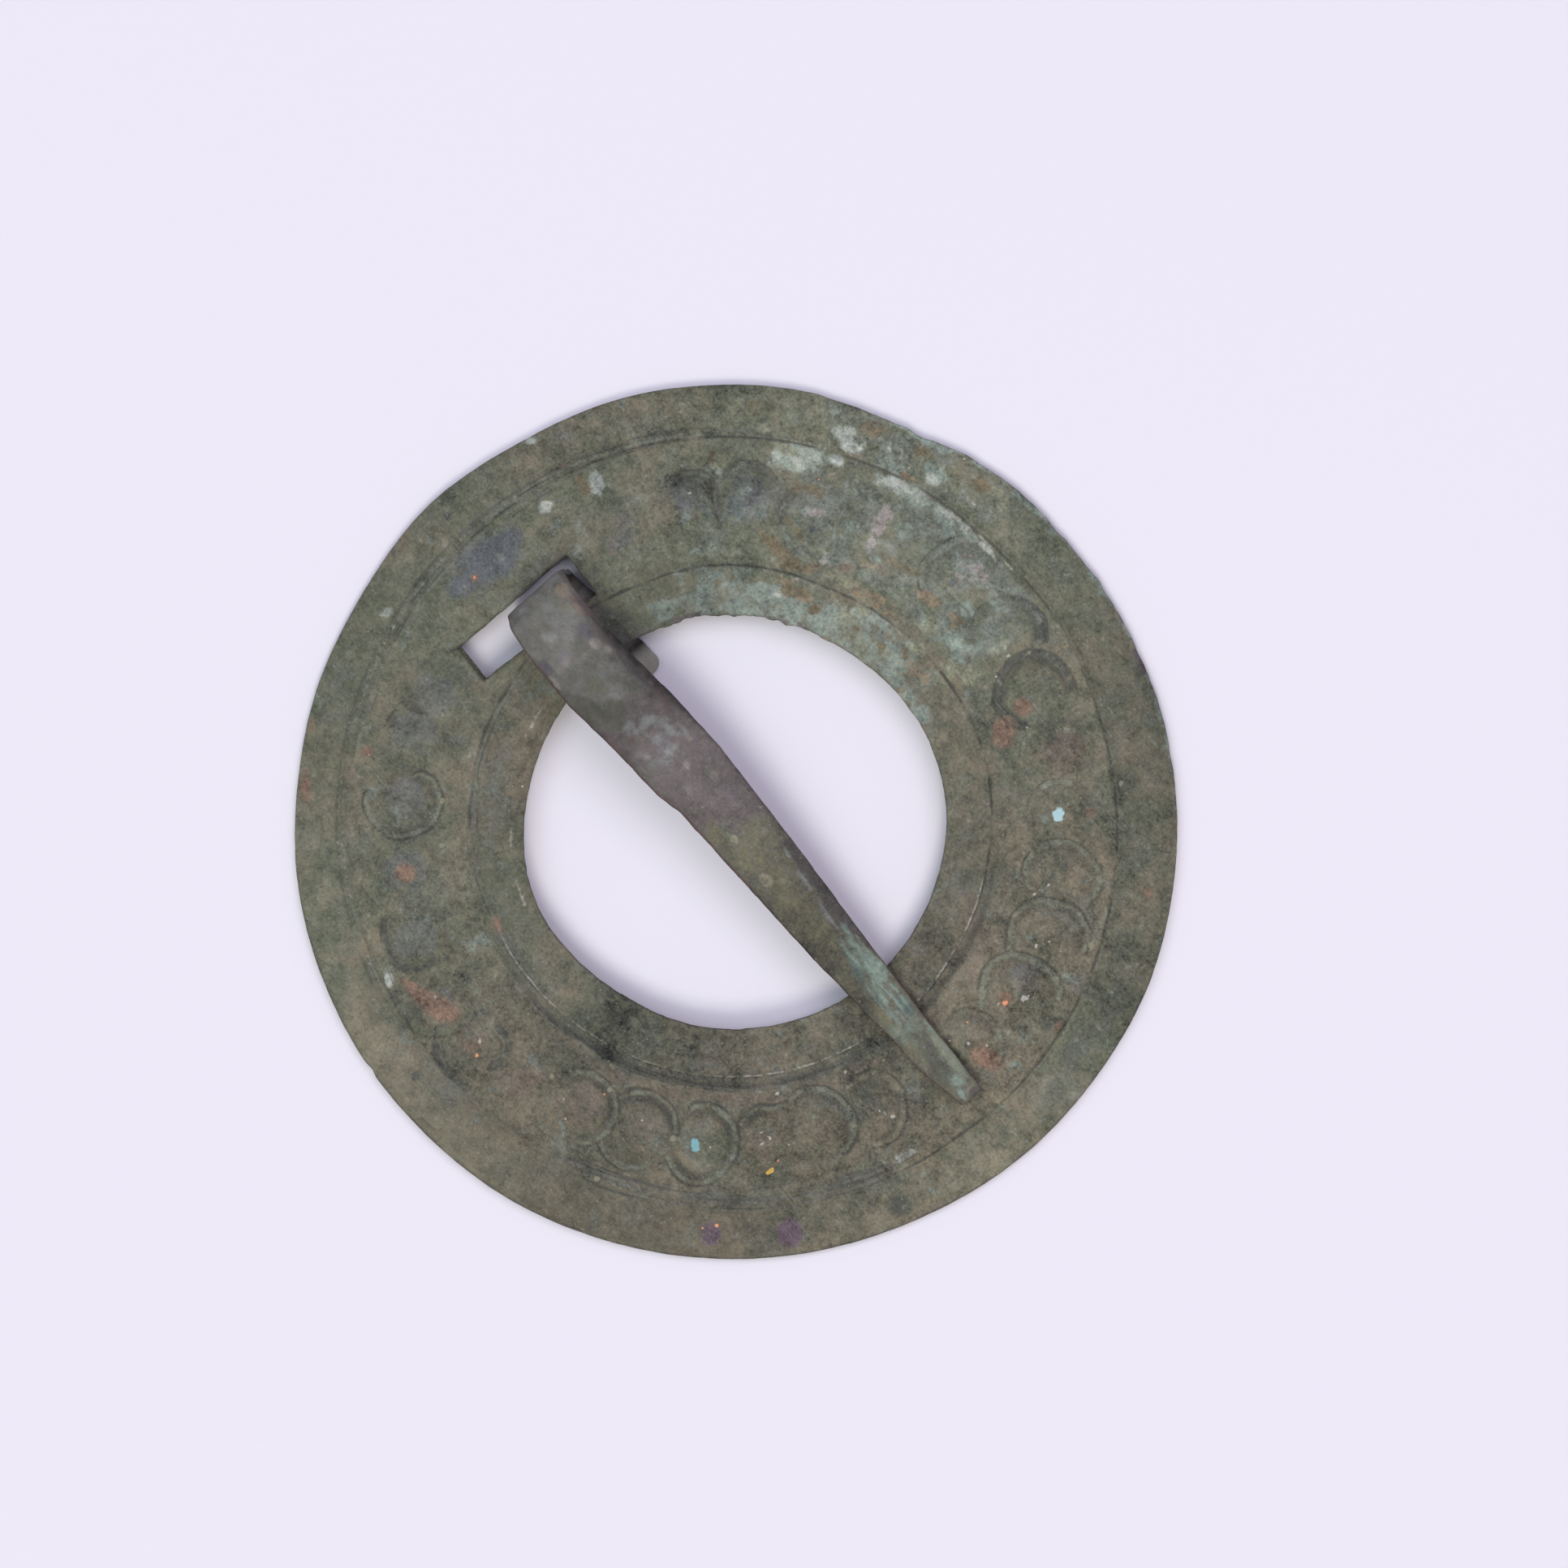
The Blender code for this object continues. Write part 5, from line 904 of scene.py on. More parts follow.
            values = values + back * hidden[kind]
        attribute(mesh, kind, values)


# ---------------------------------------------------------------- the pin's form
def centre_height(x):
    return REST_Z + STRIP / 2 + (REST_X - x) * math.tan(math.radians(PIN_SLOPE))


def pin_path(step):
    """Points (x, z) along the middle of the strip, evenly spaced, with their directions."""
    corners = [np.array(p) for p in ((TAB_END_X, TAB_Z), (LEG_X, TAB_Z), (LEG_X, centre_height(LEG_X)), (TIP_X, centre_height(TIP_X)))]
    points = [corners[0]]
    for before, corner, after, radius in zip(corners, corners[1:], corners[2:], (FOOT_BEND, HEAD_BEND)):
        back, ahead = before - corner, after - corner
        back, ahead = back / np.hypot(*back), ahead / np.hypot(*ahead)
        half = math.acos(float(back @ ahead)) / 2
        bisector = back + ahead
        centre = corner + bisector / np.hypot(*bisector) * radius / math.sin(half)
        start, end = corner + back * radius / math.tan(half) - centre, corner + ahead * radius / math.tan(half) - centre
        a0, a1 = math.atan2(start[1], start[0]), math.atan2(end[1], end[0])
        swing = (a1 - a0 + math.pi) % (2 * math.pi) - math.pi
        points += [centre + radius * np.array([math.cos(a0 + swing * k / 40), math.sin(a0 + swing * k / 40)]) for k in range(41)]
    points.append(corners[-1])
    points = np.array(points)
    run = np.concatenate([[0], np.cumsum(np.hypot(*np.diff(points, axis=0).T))])
    total = run[-1]
    steps = np.arange(0, total, step)
    steps = np.unique(np.concatenate([[0, 0.02, 0.05], steps[steps > 0.08], [total - 0.05, total - 0.02, total]]))
    x, z = np.interp(steps, run, points[:, 0]), np.interp(steps, run, points[:, 1])
    dx, dz = np.gradient(x, steps), np.gradient(z, steps)
    norm = np.hypot(dx, dz)
    return steps, total, x, z, dx / norm, dz / norm


def make_pin():
    run, total, px, pz, tx, tz = pin_path(0.095)
    n = len(run)
    # On the upper run the outside of the fold faces up: the outward normal is the direction turned to the left
    nx, nz = -tz, tx
    shoulder = centre_height(LEG_X) - HEAD_BEND
    is_top = np.arange(n) >= int(np.argmax(pz > shoulder))
    plan = np.array(PIN_PLAN)
    plan_x = np.clip(px, plan[0, 0], plan[-1, 0])
    left, right = np.interp(plan_x, plan[:, 0], plan[:, 1]), np.interp(plan_x, plan[:, 0], plan[:, 2])
    kernel = np.hanning(13)
    kernel /= kernel.sum()
    for side in (left, right):
        ends = np.concatenate([np.full(6, side[0]), side, np.full(6, side[-1])])
        side[:] = np.convolve(ends, kernel, "valid")
    head_left, head_right = (float(np.interp(LEG_X, plan[:, 0], plan[:, k])) for k in (1, 2))
    climb = smooth((pz - TAB_Z) / (shoulder - TAB_Z))
    aside = LEG_SHIFT + math.tan(math.radians(TAB_SKEW)) * (px - LEG_X)
    middle = (head_left + head_right) / 2
    leg_left = head_left * climb + (middle + aside - TAB_WIDTH / 2) * (1 - climb)
    leg_right = head_right * climb + (middle + aside + TAB_WIDTH / 2) * (1 - climb) + 0.12 * bell(climb - 0.55, 0.5)
    leg_left = leg_left + 0.75 * bell(climb - 0.45, 0.32)
    left, right = np.where(is_top, left, leg_left), np.where(is_top, right, leg_right)
    along = np.stack([run, np.zeros(n), np.zeros(n)], 1)
    left = left + 0.05 * (noise(along, 1.3, 71) - 0.5) + 0.03 * (noise(along, 0.45, 72) - 0.5)
    right = right + 0.05 * (noise(along + 50, 1.3, 73) - 0.5) + 0.03 * (noise(along + 50, 0.45, 74) - 0.5)

    def corner(distance, radius):
        inside = np.clip(radius - distance, 0, radius)
        return radius - np.sqrt(radius**2 - inside**2)

    pull = np.where(is_top, corner(total - run, TIP_CORNER), corner(run, TAB_CORNER))
    left, right = left + pull, right - pull

    # The strip's section: across the top, round the right edge, back below, round the left edge
    e = 0.09
    over, under, arc = 28, 18, 4
    section = [(t, 1.0) for t in np.linspace(0, 1, over)]
    v, w, outline = [], [], []
    half = STRIP / 2
    for t in np.linspace(0, 1, over):
        outline.append((0, t, 0.0, half))
    for k in range(1, arc + 1):
        a = math.pi / 2 * (1 - k / (arc + 1))
        outline.append((1, 1.0, e * math.cos(a), half - e + e * math.sin(a)))
    for k in range(1, arc + 1):
        a = -math.pi / 2 * (k / (arc + 1))
        outline.append((1, 1.0, e * math.cos(a), -half + e + e * math.sin(a)))
    for t in np.linspace(1, 0, under):
        outline.append((2, t, 0.0, -half))
    for k in range(1, arc + 1):
        a = math.pi + math.pi / 2 * (1 - k / (arc + 1))
        outline.append((3, 0.0, e * math.cos(a), -half + e + e * math.sin(a)))
    for k in range(1, arc + 1):
        a = math.pi - math.pi / 2 * (k / (arc + 1))
        outline.append((3, 0.0, e * math.cos(a), half - e + e * math.sin(a)))
    m = len(outline)
    facet_x = [f[0] for f in PIN_FACET]
    facet_w, facet_d = np.interp(px, facet_x, [f[1] for f in PIN_FACET]), np.interp(px, facet_x, [f[2] for f in PIN_FACET])
    upper = smooth((np.arange(n) - int(np.argmax(is_top)) + 4) / 12.0)
    points = np.zeros((n, m, 3))
    end_thin = 1 - 0.45 * bell(np.minimum(run, total - run), 0.035)
    for k, (part, t, out, high) in enumerate(outline):
        y = left + e + (right - left - 2 * e) * t + out
        high = np.full(n, high)
        from_right, from_left = right - y, y - left
        at = np.stack([run, y, np.full(n, 5.0 * (part == 2))], 1)
        if part == 0 or high[0] > 0:
            worn = -0.05 * np.clip(1 - np.minimum(from_right, from_left) / 0.9, 0, 1) ** 2
            worn = worn - upper * facet_d * np.clip(1 - from_right / facet_w, 0, 1)
            worn = worn - 0.045 * layered(at, 1.6, 75) - 0.014 * noise(at, 0.35, 77)
            # A long shallow hollow down the middle of the head
            worn = worn - 0.04 * upper * bell(px + 11, 4.0) * bell((y - (left + right) / 2) / (right - left), 0.35)
            room = half + high - 0.05
            high = high + np.maximum(worn, -room * 0.75)
        elif part == 2:
            high = high + 0.025 * layered(at, 1.4, 78)
        high = high * end_thin
        # The fold isn't quite square across the strip
        skew = 0.075 * np.clip(y + 2.4, 0, None) * smooth((pz - 2.9) / 1.2) * smooth((-15.4 - px) / 1.4)
        points[:, k, 0], points[:, k, 1], points[:, k, 2] = px + nx * high - skew, y, pz + nz * high
    points = points.reshape(-1, 3)
    faces = []
    j = np.arange(m)
    following = (j + 1) % m
    for i in range(n - 1):
        a, b = i * m, (i + 1) * m
        faces += np.stack([a + j, b + j, b + following, a + following], 1).tolist()
    faces += [tuple(range(m)), tuple(reversed(range((n - 1) * m, n * m)))]
    mesh = bpy.data.meshes.new("pin")
    mesh.from_pydata((points * MM).tolist(), [], faces)
    mesh.validate()
    pin = bpy.data.objects.new("pin_strip", mesh)
    bpy.context.scene.collection.objects.link(pin)

    volume = signed_volume(mesh)
    if volume < 0:
        mesh.flip_normals()

    # Stains, painted highlights and painted shade
    x, y, z = points.T
    part = np.tile(np.array([o[0] for o in outline]), n)
    rows = np.repeat(np.arange(n), m)
    on_top = upper[rows] * (part != 2)
    at = np.stack([x, y, z], 1)
    from_right, from_left = right[rows] - y, y - left[rows]
    got = {kind: ellipses(x, y, items) for kind, items in PIN_PATCHES.items()}
    bent = x + 3.0 * (layered(at, 2.6, 86) - 0.5)
    mid = smooth((x + 11) / 3) * (1 - smooth((bent + 1.4) / 4.5))
    low = smooth((bent + 2.6) / 5)
    got["mid"] = mid * (0.55 + 0.5 * layered(at, 1.8, 81))
    got["low"] = low * (0.6 + 0.5 * layered(at, 1.8, 82))
    edge_line = bell(from_left, 0.15) * (0.65 + 0.7 * noise(at, 0.9, 83)) * (0.75 + 0.25 * (x < 6))
    ridge = 0.55 * upper[rows] * bell(from_right - facet_w[rows], 0.10) * smooth((x + 16.2) / 1.2) * (1 - smooth((x + 9) / 2)) * (0.45 + 0.6 * noise(at, 0.9, 84))
    got["edge"] = np.maximum(edge_line, np.maximum(ridge, 0.6 * bell(from_right, 0.07) * (0.4 + noise(at, 0.8, 85))))
    # Painted shade on the worn facet along the head's right edge
    got["facet"] = upper[rows] * np.clip(1.3 - from_right / np.maximum(facet_w[rows], 0.05), 0, 1) * (1 - smooth((x + 8) / 2))
    for kind, values in got.items():
        if kind in ("mid", "low"):
            attribute(mesh, kind, values)
        else:
            attribute(mesh, kind, values * on_top)
    attribute(mesh, "back", 1 - on_top)
    attribute(mesh, "crisp", 0.38 + 0.62 * smooth((x + 8.5) / 9))
    # Painted shade: darker towards both edges, as across a curved strip, and darker down the right side; darker and
    # lighter stretches along the pin; and the tab, which lies in the pin's shadow, made lighter with painted light,
    # with painted shadow beside the hole's edge
    across = (y - left[rows]) / np.maximum(right[rows] - left[rows], 0.1)
    tab_painted_light_and_shadow = (rows < int(0.62 * np.argmax(is_top))) * (part != 0) * (0.35 + 0.65 * smooth((x + 11.2) / 0.7) - 0.75 * bell(x + 11.42, 0.26))
    lengthwise = -0.16 * bell(x + 11.6, 1.6) - 0.24 * bell(x + 8.8, 1.5) + 0.12 * bell(x + 5.2, 1.6) - 0.38 * bell(x - 7.4, 3.6) * (from_right > facet_w[rows]) - 0.16 * bell(x - 11.5, 2.0) * (from_left < 1.2)
    lengthwise = lengthwise - smooth((1.35 - from_right) / 0.5) * (0.36 * bell(x + 12.2, 2.3) + 0.24 * bell(x + 8.0, 2.0) + 0.16 * bell(x - 6.0, 2.4) - 0.16 * bell(x - 13.0, 1.6))
    lengthwise = lengthwise - 0.10 * bell(x + 11.0, 2.4) - 0.09 * bell(x + 7.5, 2.0) - 0.11 * bell(x + 2.0, 2.0) - 0.10 * bell(x - 8.0, 3.2) - 0.12 * bell(x - 12.2, 1.6) * (from_right > 0.9)
    lengthwise = lengthwise - 0.20 * bell(x - 18.2, 1.2) * bell(from_left, 0.9) + 0.22 * bell(x - 17.8, 1.6) * bell(from_right, 0.5)
    attribute(mesh, "tone", on_top * (-0.20 * bell(across, 0.16) - 0.14 * bell(across - 1, 0.14) + 0.05 * bell(across - 0.42, 0.2) + lengthwise) + 1.8 * tab_painted_light_and_shadow)
    mesh.shade_smooth()
    mesh.set_sharp_from_angle(angle=math.radians(70))
    return pin


def signed_volume(mesh):
    co = np.zeros(len(mesh.vertices) * 3)
    mesh.vertices.foreach_get("co", co)
    co = co.reshape(-1, 3)
    mesh.calc_loop_triangles()
    tri = np.zeros(len(mesh.loop_triangles) * 3, int)
    mesh.loop_triangles.foreach_get("vertices", tri)
    a, b, c = (co[tri.reshape(-1, 3)[:, k]] for k in range(3))
    return float((a * np.cross(b, c)).sum() / 6)


# ---------------------------------------------------------------- materials
class Shade:
    """A Principled material whose colour is built up in layers."""

    def __init__(self, name, metallic, specular):
        self.material = bpy.data.materials.new(name)
        self.material.use_nodes = True
        self.tree = self.material.node_tree
        self.shader = self.tree.nodes["Principled BSDF"]
        self.shader.inputs["Metallic"].default_value = metallic
        self.shader.inputs["Specular IOR Level"].default_value = specular
        self.coords = self.tree.nodes.new("ShaderNodeTexCoord").outputs["Object"]

    def node(self, kind, **values):
        made = self.tree.nodes.new(kind)
        for key, value in values.items():
            setattr(made, key, value)
        return made

    def feed(self, socket, value):
        if isinstance(value, bpy.types.NodeSocket):
            self.tree.links.new(value, socket)
        elif isinstance(value, (tuple, list)):
            socket.default_value = (*value, 1.0) if len(value) == 3 and len(socket.default_value) == 4 else value
        else:
            socket.default_value = value

    def noise(self, size, detail=3.0, rough=0.6, shift=0.0, distortion=0.0):
        """Grain of this size in mm."""
        made = self.node("ShaderNodeTexNoise")
        if shift:
            move = self.node("ShaderNodeVectorMath", operation="ADD")
            self.feed(move.inputs[0], self.coords)
            move.inputs[1].default_value = (shift * MM, -shift * MM * 0.7, shift * MM * 1.3)
            self.feed(made.inputs["Vector"], move.outputs[0])
        else:
            self.feed(made.inputs["Vector"], self.coords)
        made.inputs["Scale"].default_value = 1 / (size * MM)
        made.inputs["Detail"].default_value = detail
        made.inputs["Roughness"].default_value = rough
        made.inputs["Distortion"].default_value = distortion
        return made.outputs["Fac"]

    def scratches(self, turn, shift, long=2.2, thin=0.055):
        """Sparse fine scratches about this direction, in degrees."""
        move = self.node("ShaderNodeMapping")
        self.feed(move.inputs["Vector"], self.coords)
        move.inputs["Location"].default_value = (shift * MM, shift * MM, 0)
        move.inputs["Rotation"].default_value = (0, 0, math.radians(turn))
        move.inputs["Scale"].default_value = (1 / long, 1 / thin, 1 / long)
        made = self.node("ShaderNodeTexNoise")
        self.feed(made.inputs["Vector"], move.outputs[0])
        made.inputs["Scale"].default_value = 1 / MM
        made.inputs["Detail"].default_value = 0.0
        made.inputs["Distortion"].default_value = 0.4
        fine = self.step(made.outputs["Fac"], 0.74, 0.80, 0.0, 0.38)
        return self.math("MULTIPLY", fine, self.step(self.noise(3.1, 1, 0.5, shift * 1.3), 0.50, 0.62))

    def streaks(self, long, thin, shift=0.0):
        """Grain drawn out round the ring, this long and thin in mm."""
        flat = self.vector("MULTIPLY", self.coords, (1.0, 1.0, 0.0))
        reach = self.node("ShaderNodeVectorMath", operation="LENGTH")
        self.feed(reach.inputs[0], flat)
        away = self.node("ShaderNodeCombineXYZ")
        self.feed(away.inputs[2], self.math("MULTIPLY_ADD", reach.outputs["Value"], 1 / (thin * MM), shift))
        turned = self.node("ShaderNodeVectorMath", operation="SCALE")
        self.feed(turned.inputs[0], self.vector("NORMALIZE", flat))
        turned.inputs["Scale"].default_value = 20.0 / long
        made = self.node("ShaderNodeTexNoise")
        self.feed(made.inputs["Vector"], self.vector("ADD", turned.outputs[0], away.outputs[0]))
        made.inputs["Scale"].default_value = 1.0
        made.inputs["Detail"].default_value = 2.0
        made.inputs["Roughness"].default_value = 0.55
        made.inputs["Distortion"].default_value = 0.25
        return made.outputs["Fac"]

    def grain_along(self, long, thin, shift=0.0):
        """Grain drawn out along X, this long and thin in mm."""
        move = self.node("ShaderNodeMapping")
        self.feed(move.inputs["Vector"], self.coords)
        move.inputs["Location"].default_value = (shift, shift, 0)
        move.inputs["Scale"].default_value = (1 / (long * MM), 1 / (thin * MM), 1 / (thin * MM))
        made = self.node("ShaderNodeTexNoise")
        self.feed(made.inputs["Vector"], move.outputs[0])
        made.inputs["Scale"].default_value = 1.0
        made.inputs["Detail"].default_value = 4.0
        made.inputs["Roughness"].default_value = 0.62
        made.inputs["Distortion"].default_value = 0.5
        return made.outputs["Fac"]

    def vector(self, operation, a, b=None):
        made = self.node("ShaderNodeVectorMath", operation=operation)
        self.feed(made.inputs[0], a)
        if b is not None:
            self.feed(made.inputs[1], b)
        return made.outputs[0]

    def math(self, operation, a, b=None, c=None, clamp=False):
        made = self.node("ShaderNodeMath", operation=operation, use_clamp=clamp)
        for socket, value in zip(made.inputs, (a, b, c)):
            if value is not None:
                self.feed(socket, value)
        return made.outputs[0]

    def step(self, value, low, high, out_low=0.0, out_high=1.0):
        made = self.node("ShaderNodeMapRange", interpolation_type="SMOOTHSTEP")
        for socket, v in zip(made.inputs, (value, low, high, out_low, out_high)):
            self.feed(socket, v)
        return made.outputs[0]

    def attribute(self, name):
        made = self.node("ShaderNodeAttribute", attribute_name=name)
        return made.outputs["Fac"]

    def mix(self, factor, a, b, blend="MIX"):
        made = self.node("ShaderNodeMix", data_type="RGBA", blend_type=blend)
        self.feed(made.inputs[0], factor)
        self.feed(made.inputs[6], a)
        self.feed(made.inputs[7], b)
        return made.outputs[2]

    def cover(self, name, grain, amount=0.8, low=0.28, high=0.74, most=1.0):
        """How much of a layer shows: its attribute, broken up by grain."""
        rough = self.math("MULTIPLY_ADD", self.math("SUBTRACT", grain, 0.5), amount * 2, self.attribute(name))
        shown = self.step(rough, low, high)
        return self.math("MULTIPLY", shown, most) if most != 1.0 else shown

    def spot(self, name, grain, amount, most):
        """A small spot with an uneven edge, in the coordinates that its attribute holds."""
        held = self.node("ShaderNodeAttribute", attribute_name=name)
        parts = self.node("ShaderNodeSeparateXYZ")
        self.feed(parts.inputs[0], held.outputs["Vector"])
        across = self.math("SQRT", self.math("ADD", self.math("POWER", parts.outputs[0], 2.0), self.math("POWER", parts.outputs[1], 2.0)))
        across = self.math("MULTIPLY_ADD", self.math("SUBTRACT", grain, 0.5), amount * 2, across)
        inside = self.math("MULTIPLY", self.step(across, 0.80, 1.10, 1.0, 0.0), self.step(parts.outputs[2], 0.90, 0.99))
        return self.math("MULTIPLY", inside, most)

    def bump(self, height, distance, strength=1.0):
        made = self.node("ShaderNodeBump")
        made.inputs["Strength"].default_value = strength
        made.inputs["Distance"].default_value = distance * MM
        self.feed(made.inputs["Height"], height)
        self.feed(self.shader.inputs["Normal"], made.outputs[0])


def ring_material():
    m = Shade("ring_bronze", metallic=0.0, specular=0.35)
    broad, patch, mottle, grain, fine = m.noise(5.5, 3, 0.55, 3), m.noise(1.9, 5, 0.62, 11, 0.3), m.noise(0.8, 4, 0.6, 23), m.noise(0.36, 3, 0.6, 37), m.noise(0.16, 1, 0.5, 41)
    cloud, film = m.noise(2.6, 5, 0.64, 71, 0.4), m.noise(1.2, 5, 0.66, 77, 0.3)
    crust, rind = m.noise(1.5, 6, 0.70, 103, 0.5), m.noise(0.9, 5, 0.70, 109, 0.4)
    drawn, drawn_fine = m.streaks(3.0, 0.24, 5.0), m.streaks(4.5, 0.15, 11.0)
    lean = m.math("ADD", m.math("MULTIPLY", broad, 0.5), m.math("MULTIPLY", patch, 0.5))
    lean = m.math("MULTIPLY_ADD", m.attribute("warm"), 0.16, lean)
    color = m.mix(m.step(lean, 0.40, 0.66), (0.120, 0.134, 0.089), (0.156, 0.138, 0.096))
    color = m.mix(m.step(cloud, 0.50, 0.68, 0.0, 0.50), color, (0.146, 0.156, 0.128))
    color = m.mix(m.step(film, 0.54, 0.72, 0.0, 0.45), color, (0.100, 0.106, 0.076))
    # Thin crusts with crisp ragged edges, darker and lighter
    vary = m.attribute("vary")
    color = m.mix(m.math("MULTIPLY", m.step(crust, 0.575, 0.625, 0.0, 0.30), vary), color, (0.094, 0.100, 0.074))
    color = m.mix(m.math("MULTIPLY", m.step(crust, 0.430, 0.380, 0.0, 0.26), vary), color, (0.166, 0.172, 0.136))
    color = m.mix(m.math("MULTIPLY", m.step(rind, 0.60, 0.64, 0.0, 0.30), vary), color, (0.166, 0.176, 0.142))
    # name, grain that breaks its edge, by how much, colour, most it may cover, and where it starts and is full
    layers = (
        ("moss", mottle, 0.9, (0.118, 0.134, 0.085), 0.8, 0.28, 0.80),
        ("olive", patch, 0.7, (0.182, 0.170, 0.118), 0.85, 0.25, 0.85),
        ("brown", mottle, 0.9, (0.146, 0.117, 0.090), 0.85, 0.25, 0.85),
        ("blue", mottle, 0.8, (0.118, 0.130, 0.132), 0.75, 0.20, 0.85),
        ("grey", film, 1.0, (0.128, 0.136, 0.126), 0.70, 0.18, 0.90),
        ("slate", film, 0.8, (0.098, 0.108, 0.120), 0.80, 0.22, 0.85),
        ("crescent", rind, 1.0, (0.070, 0.074, 0.062), 0.88, 0.16, 0.62),
        # Dark stains, and painted shadow of the pin on the ring beside its head
        ("dark", mottle, 0.8, (0.072, 0.078, 0.066), 0.85, 0.20, 0.80),
        # Dirt round the foot of each boss, with painted shade on its side away from the lights
        ("foot", mottle, 0.8, (0.074, 0.077, 0.060), 0.75, 0.12, 0.90),
        ("band", mottle, 0.9, (0.158, 0.170, 0.124), 0.85, 0.30, 0.80),
        ("lagoon", film, 1.0, (0.088, 0.114, 0.114), 0.80, 0.22, 0.80),
        ("haze", crust, 1.3, (0.168, 0.188, 0.160), 0.80, 0.25, 0.80),
        ("turq", film, 1.5, (0.214, 0.262, 0.226), 0.85, 0.22, 0.90),
        ("mint", rind, 1.0, (0.244, 0.284, 0.230), 0.88, 0.22, 0.62),
        ("pale", mottle, 1.0, (0.330, 0.358, 0.322), 0.90, 0.28, 0.85),
        ("pink", grain, 0.9, (0.250, 0.224, 0.210), 0.85, 0.28, 0.80),
        ("ochre", grain, 0.8, (0.212, 0.168, 0.108), 0.90, 0.28, 0.80),
        ("rust", mottle, 0.4, (0.166, 0.126, 0.088), 0.75, 0.02, 0.50),
        ("rust", grain, 0.35, (0.224, 0.144, 0.103), 0.94, 0.20, 0.85),
        ("lichen", rind, 1.3, (0.216, 0.222, 0.152), 0.80, 0.25, 0.80),
        ("umber", rind, 0.9, (0.142, 0.114, 0.066), 0.85, 0.22, 0.66),
        ("purple", grain, 0.7, (0.142, 0.096, 0.128), 0.95, 0.30, 0.70),
        ("plum", grain, 0.7, (0.104, 0.086, 0.092), 0.95, 0.30, 0.70),
        ("rim", grain, 0.7, (0.080, 0.070, 0.060), 0.80, 0.28, 0.80),
        ("streak", drawn, 1.1, (0.122, 0.131, 0.120), 0.45, 0.22, 0.70),
        ("streak", drawn_fine, 1.3, (0.070, 0.071, 0.062), 0.75, 0.42, 0.86),
        # Dark lines, with painted shade in the channel beside the hole and along the slot's walls
        ("line", grain, 0.45, (0.058, 0.058, 0.047), 0.80, 0.12, 0.95),
        ("shine", grain, 0.8, (0.290, 0.285, 0.250), 0.85, 0.30, 0.80),
    )
    masks = {}
    for name, noise_socket, amount, tint, most, low, high in layers:
        masks[name] = m.cover(name, noise_socket, amount, low, high, most)
        color = m.mix(masks[name], color, tint)
    # The bright crest beside the channel, thin and broken: worn metal with a painted highlight where the wall faces the
    # key light
    near = m.math("ABSOLUTE", m.math("MULTIPLY_ADD", m.math("SUBTRACT", mottle, 0.5), 0.12, m.math("ADD", m.attribute("channel"), 0.02)))
    crest = m.math("MULTIPLY", m.step(near, 0.020, 0.075, 1.0, 0.0), m.attribute("crest"))
    crest = m.math("MULTIPLY", crest, m.step(grain, 0.36, 0.60, 0.25, 1.0))
    color = m.mix(crest, color, (0.330, 0.320, 0.285))
    # Light and dark grain, dark specks and pale flecks over everything
    light = m.math("MULTIPLY", m.math("SUBTRACT", mottle, 0.5), 1.10)
    light = m.math("MULTIPLY_ADD", m.math("SUBTRACT", grain, 0.5), 1.05, light)
    light = m.math("MULTIPLY_ADD", m.math("SUBTRACT", fine, 0.5), 0.90, light)
    light = m.math("MULTIPLY_ADD", m.math("SUBTRACT", patch, 0.5), 1.00, light)
    light = m.math("MULTIPLY_ADD", m.math("SUBTRACT", broad, 0.5), 0.75, light)
    light = m.math("MULTIPLY_ADD", light, vary, 1.0)
    # Fine dark veins between the crusts
    vein = m.math("ABSOLUTE", m.math("SUBTRACT", m.noise(1.7, 4, 0.6, 127, 0.8), 0.5))
    vein = m.math("MULTIPLY", m.step(vein, 0.004, 0.020, 1.0, 0.0), m.step(film, 0.44, 0.58, 0.0, 0.26))
    light = m.math("MULTIPLY", light, m.math("SUBTRACT", 1.0, vein))
    light = m.math("ADD", light, m.attribute("tone"))
    specks = m.step(m.noise(0.24, 1, 0.5, 59), 0.66, 0.73, 0.0, 0.30)
    light = m.math("MULTIPLY", light, m.math("SUBTRACT", 1.0, specks))
    shade = m.node("ShaderNodeVectorMath", operation="SCALE")
    m.feed(shade.inputs[0], color)
    m.feed(shade.inputs["Scale"], light)
    flecks = m.step(m.noise(0.17, 1, 0.5, 83), 0.69, 0.75, 0.0, 0.55)
    color = m.mix(flecks, shade.outputs[0], (0.255, 0.258, 0.215))
    for turn, shift in ((35, 91), (118, 97)):
        color = m.mix(m.scratches(turn, shift), color, (0.250, 0.248, 0.215))
    for name, amount, tint, most in (
        ("yellow", 0.6, (0.262, 0.244, 0.170), 0.75), ("cyan", 0.8, (0.400, 0.590, 0.620), 1.0), ("teal", 0.9, (0.190, 0.390, 0.430), 1.0),
        ("gold", 1.2, (0.560, 0.360, 0.080), 0.95), ("glint", 1.6, (0.480, 0.455, 0.420), 0.75), ("spark", 1.6, (0.760, 0.300, 0.170), 0.95),
    ):
        color = m.mix(m.spot(name, grain if amount < 1 else m.noise(0.22, 1, 0.5, 67 + amount), amount, most), color, tint)
    m.feed(m.shader.inputs["Base Color"], color)
    rough = m.math("MULTIPLY_ADD", m.math("SUBTRACT", grain, 0.5), 0.35, 0.66)
    rough = m.math("MULTIPLY_ADD", masks["shine"], -0.25, rough)
    rough = m.math("MULTIPLY_ADD", masks["turq"], 0.15, rough, clamp=True)
    m.feed(m.shader.inputs["Roughness"], rough)
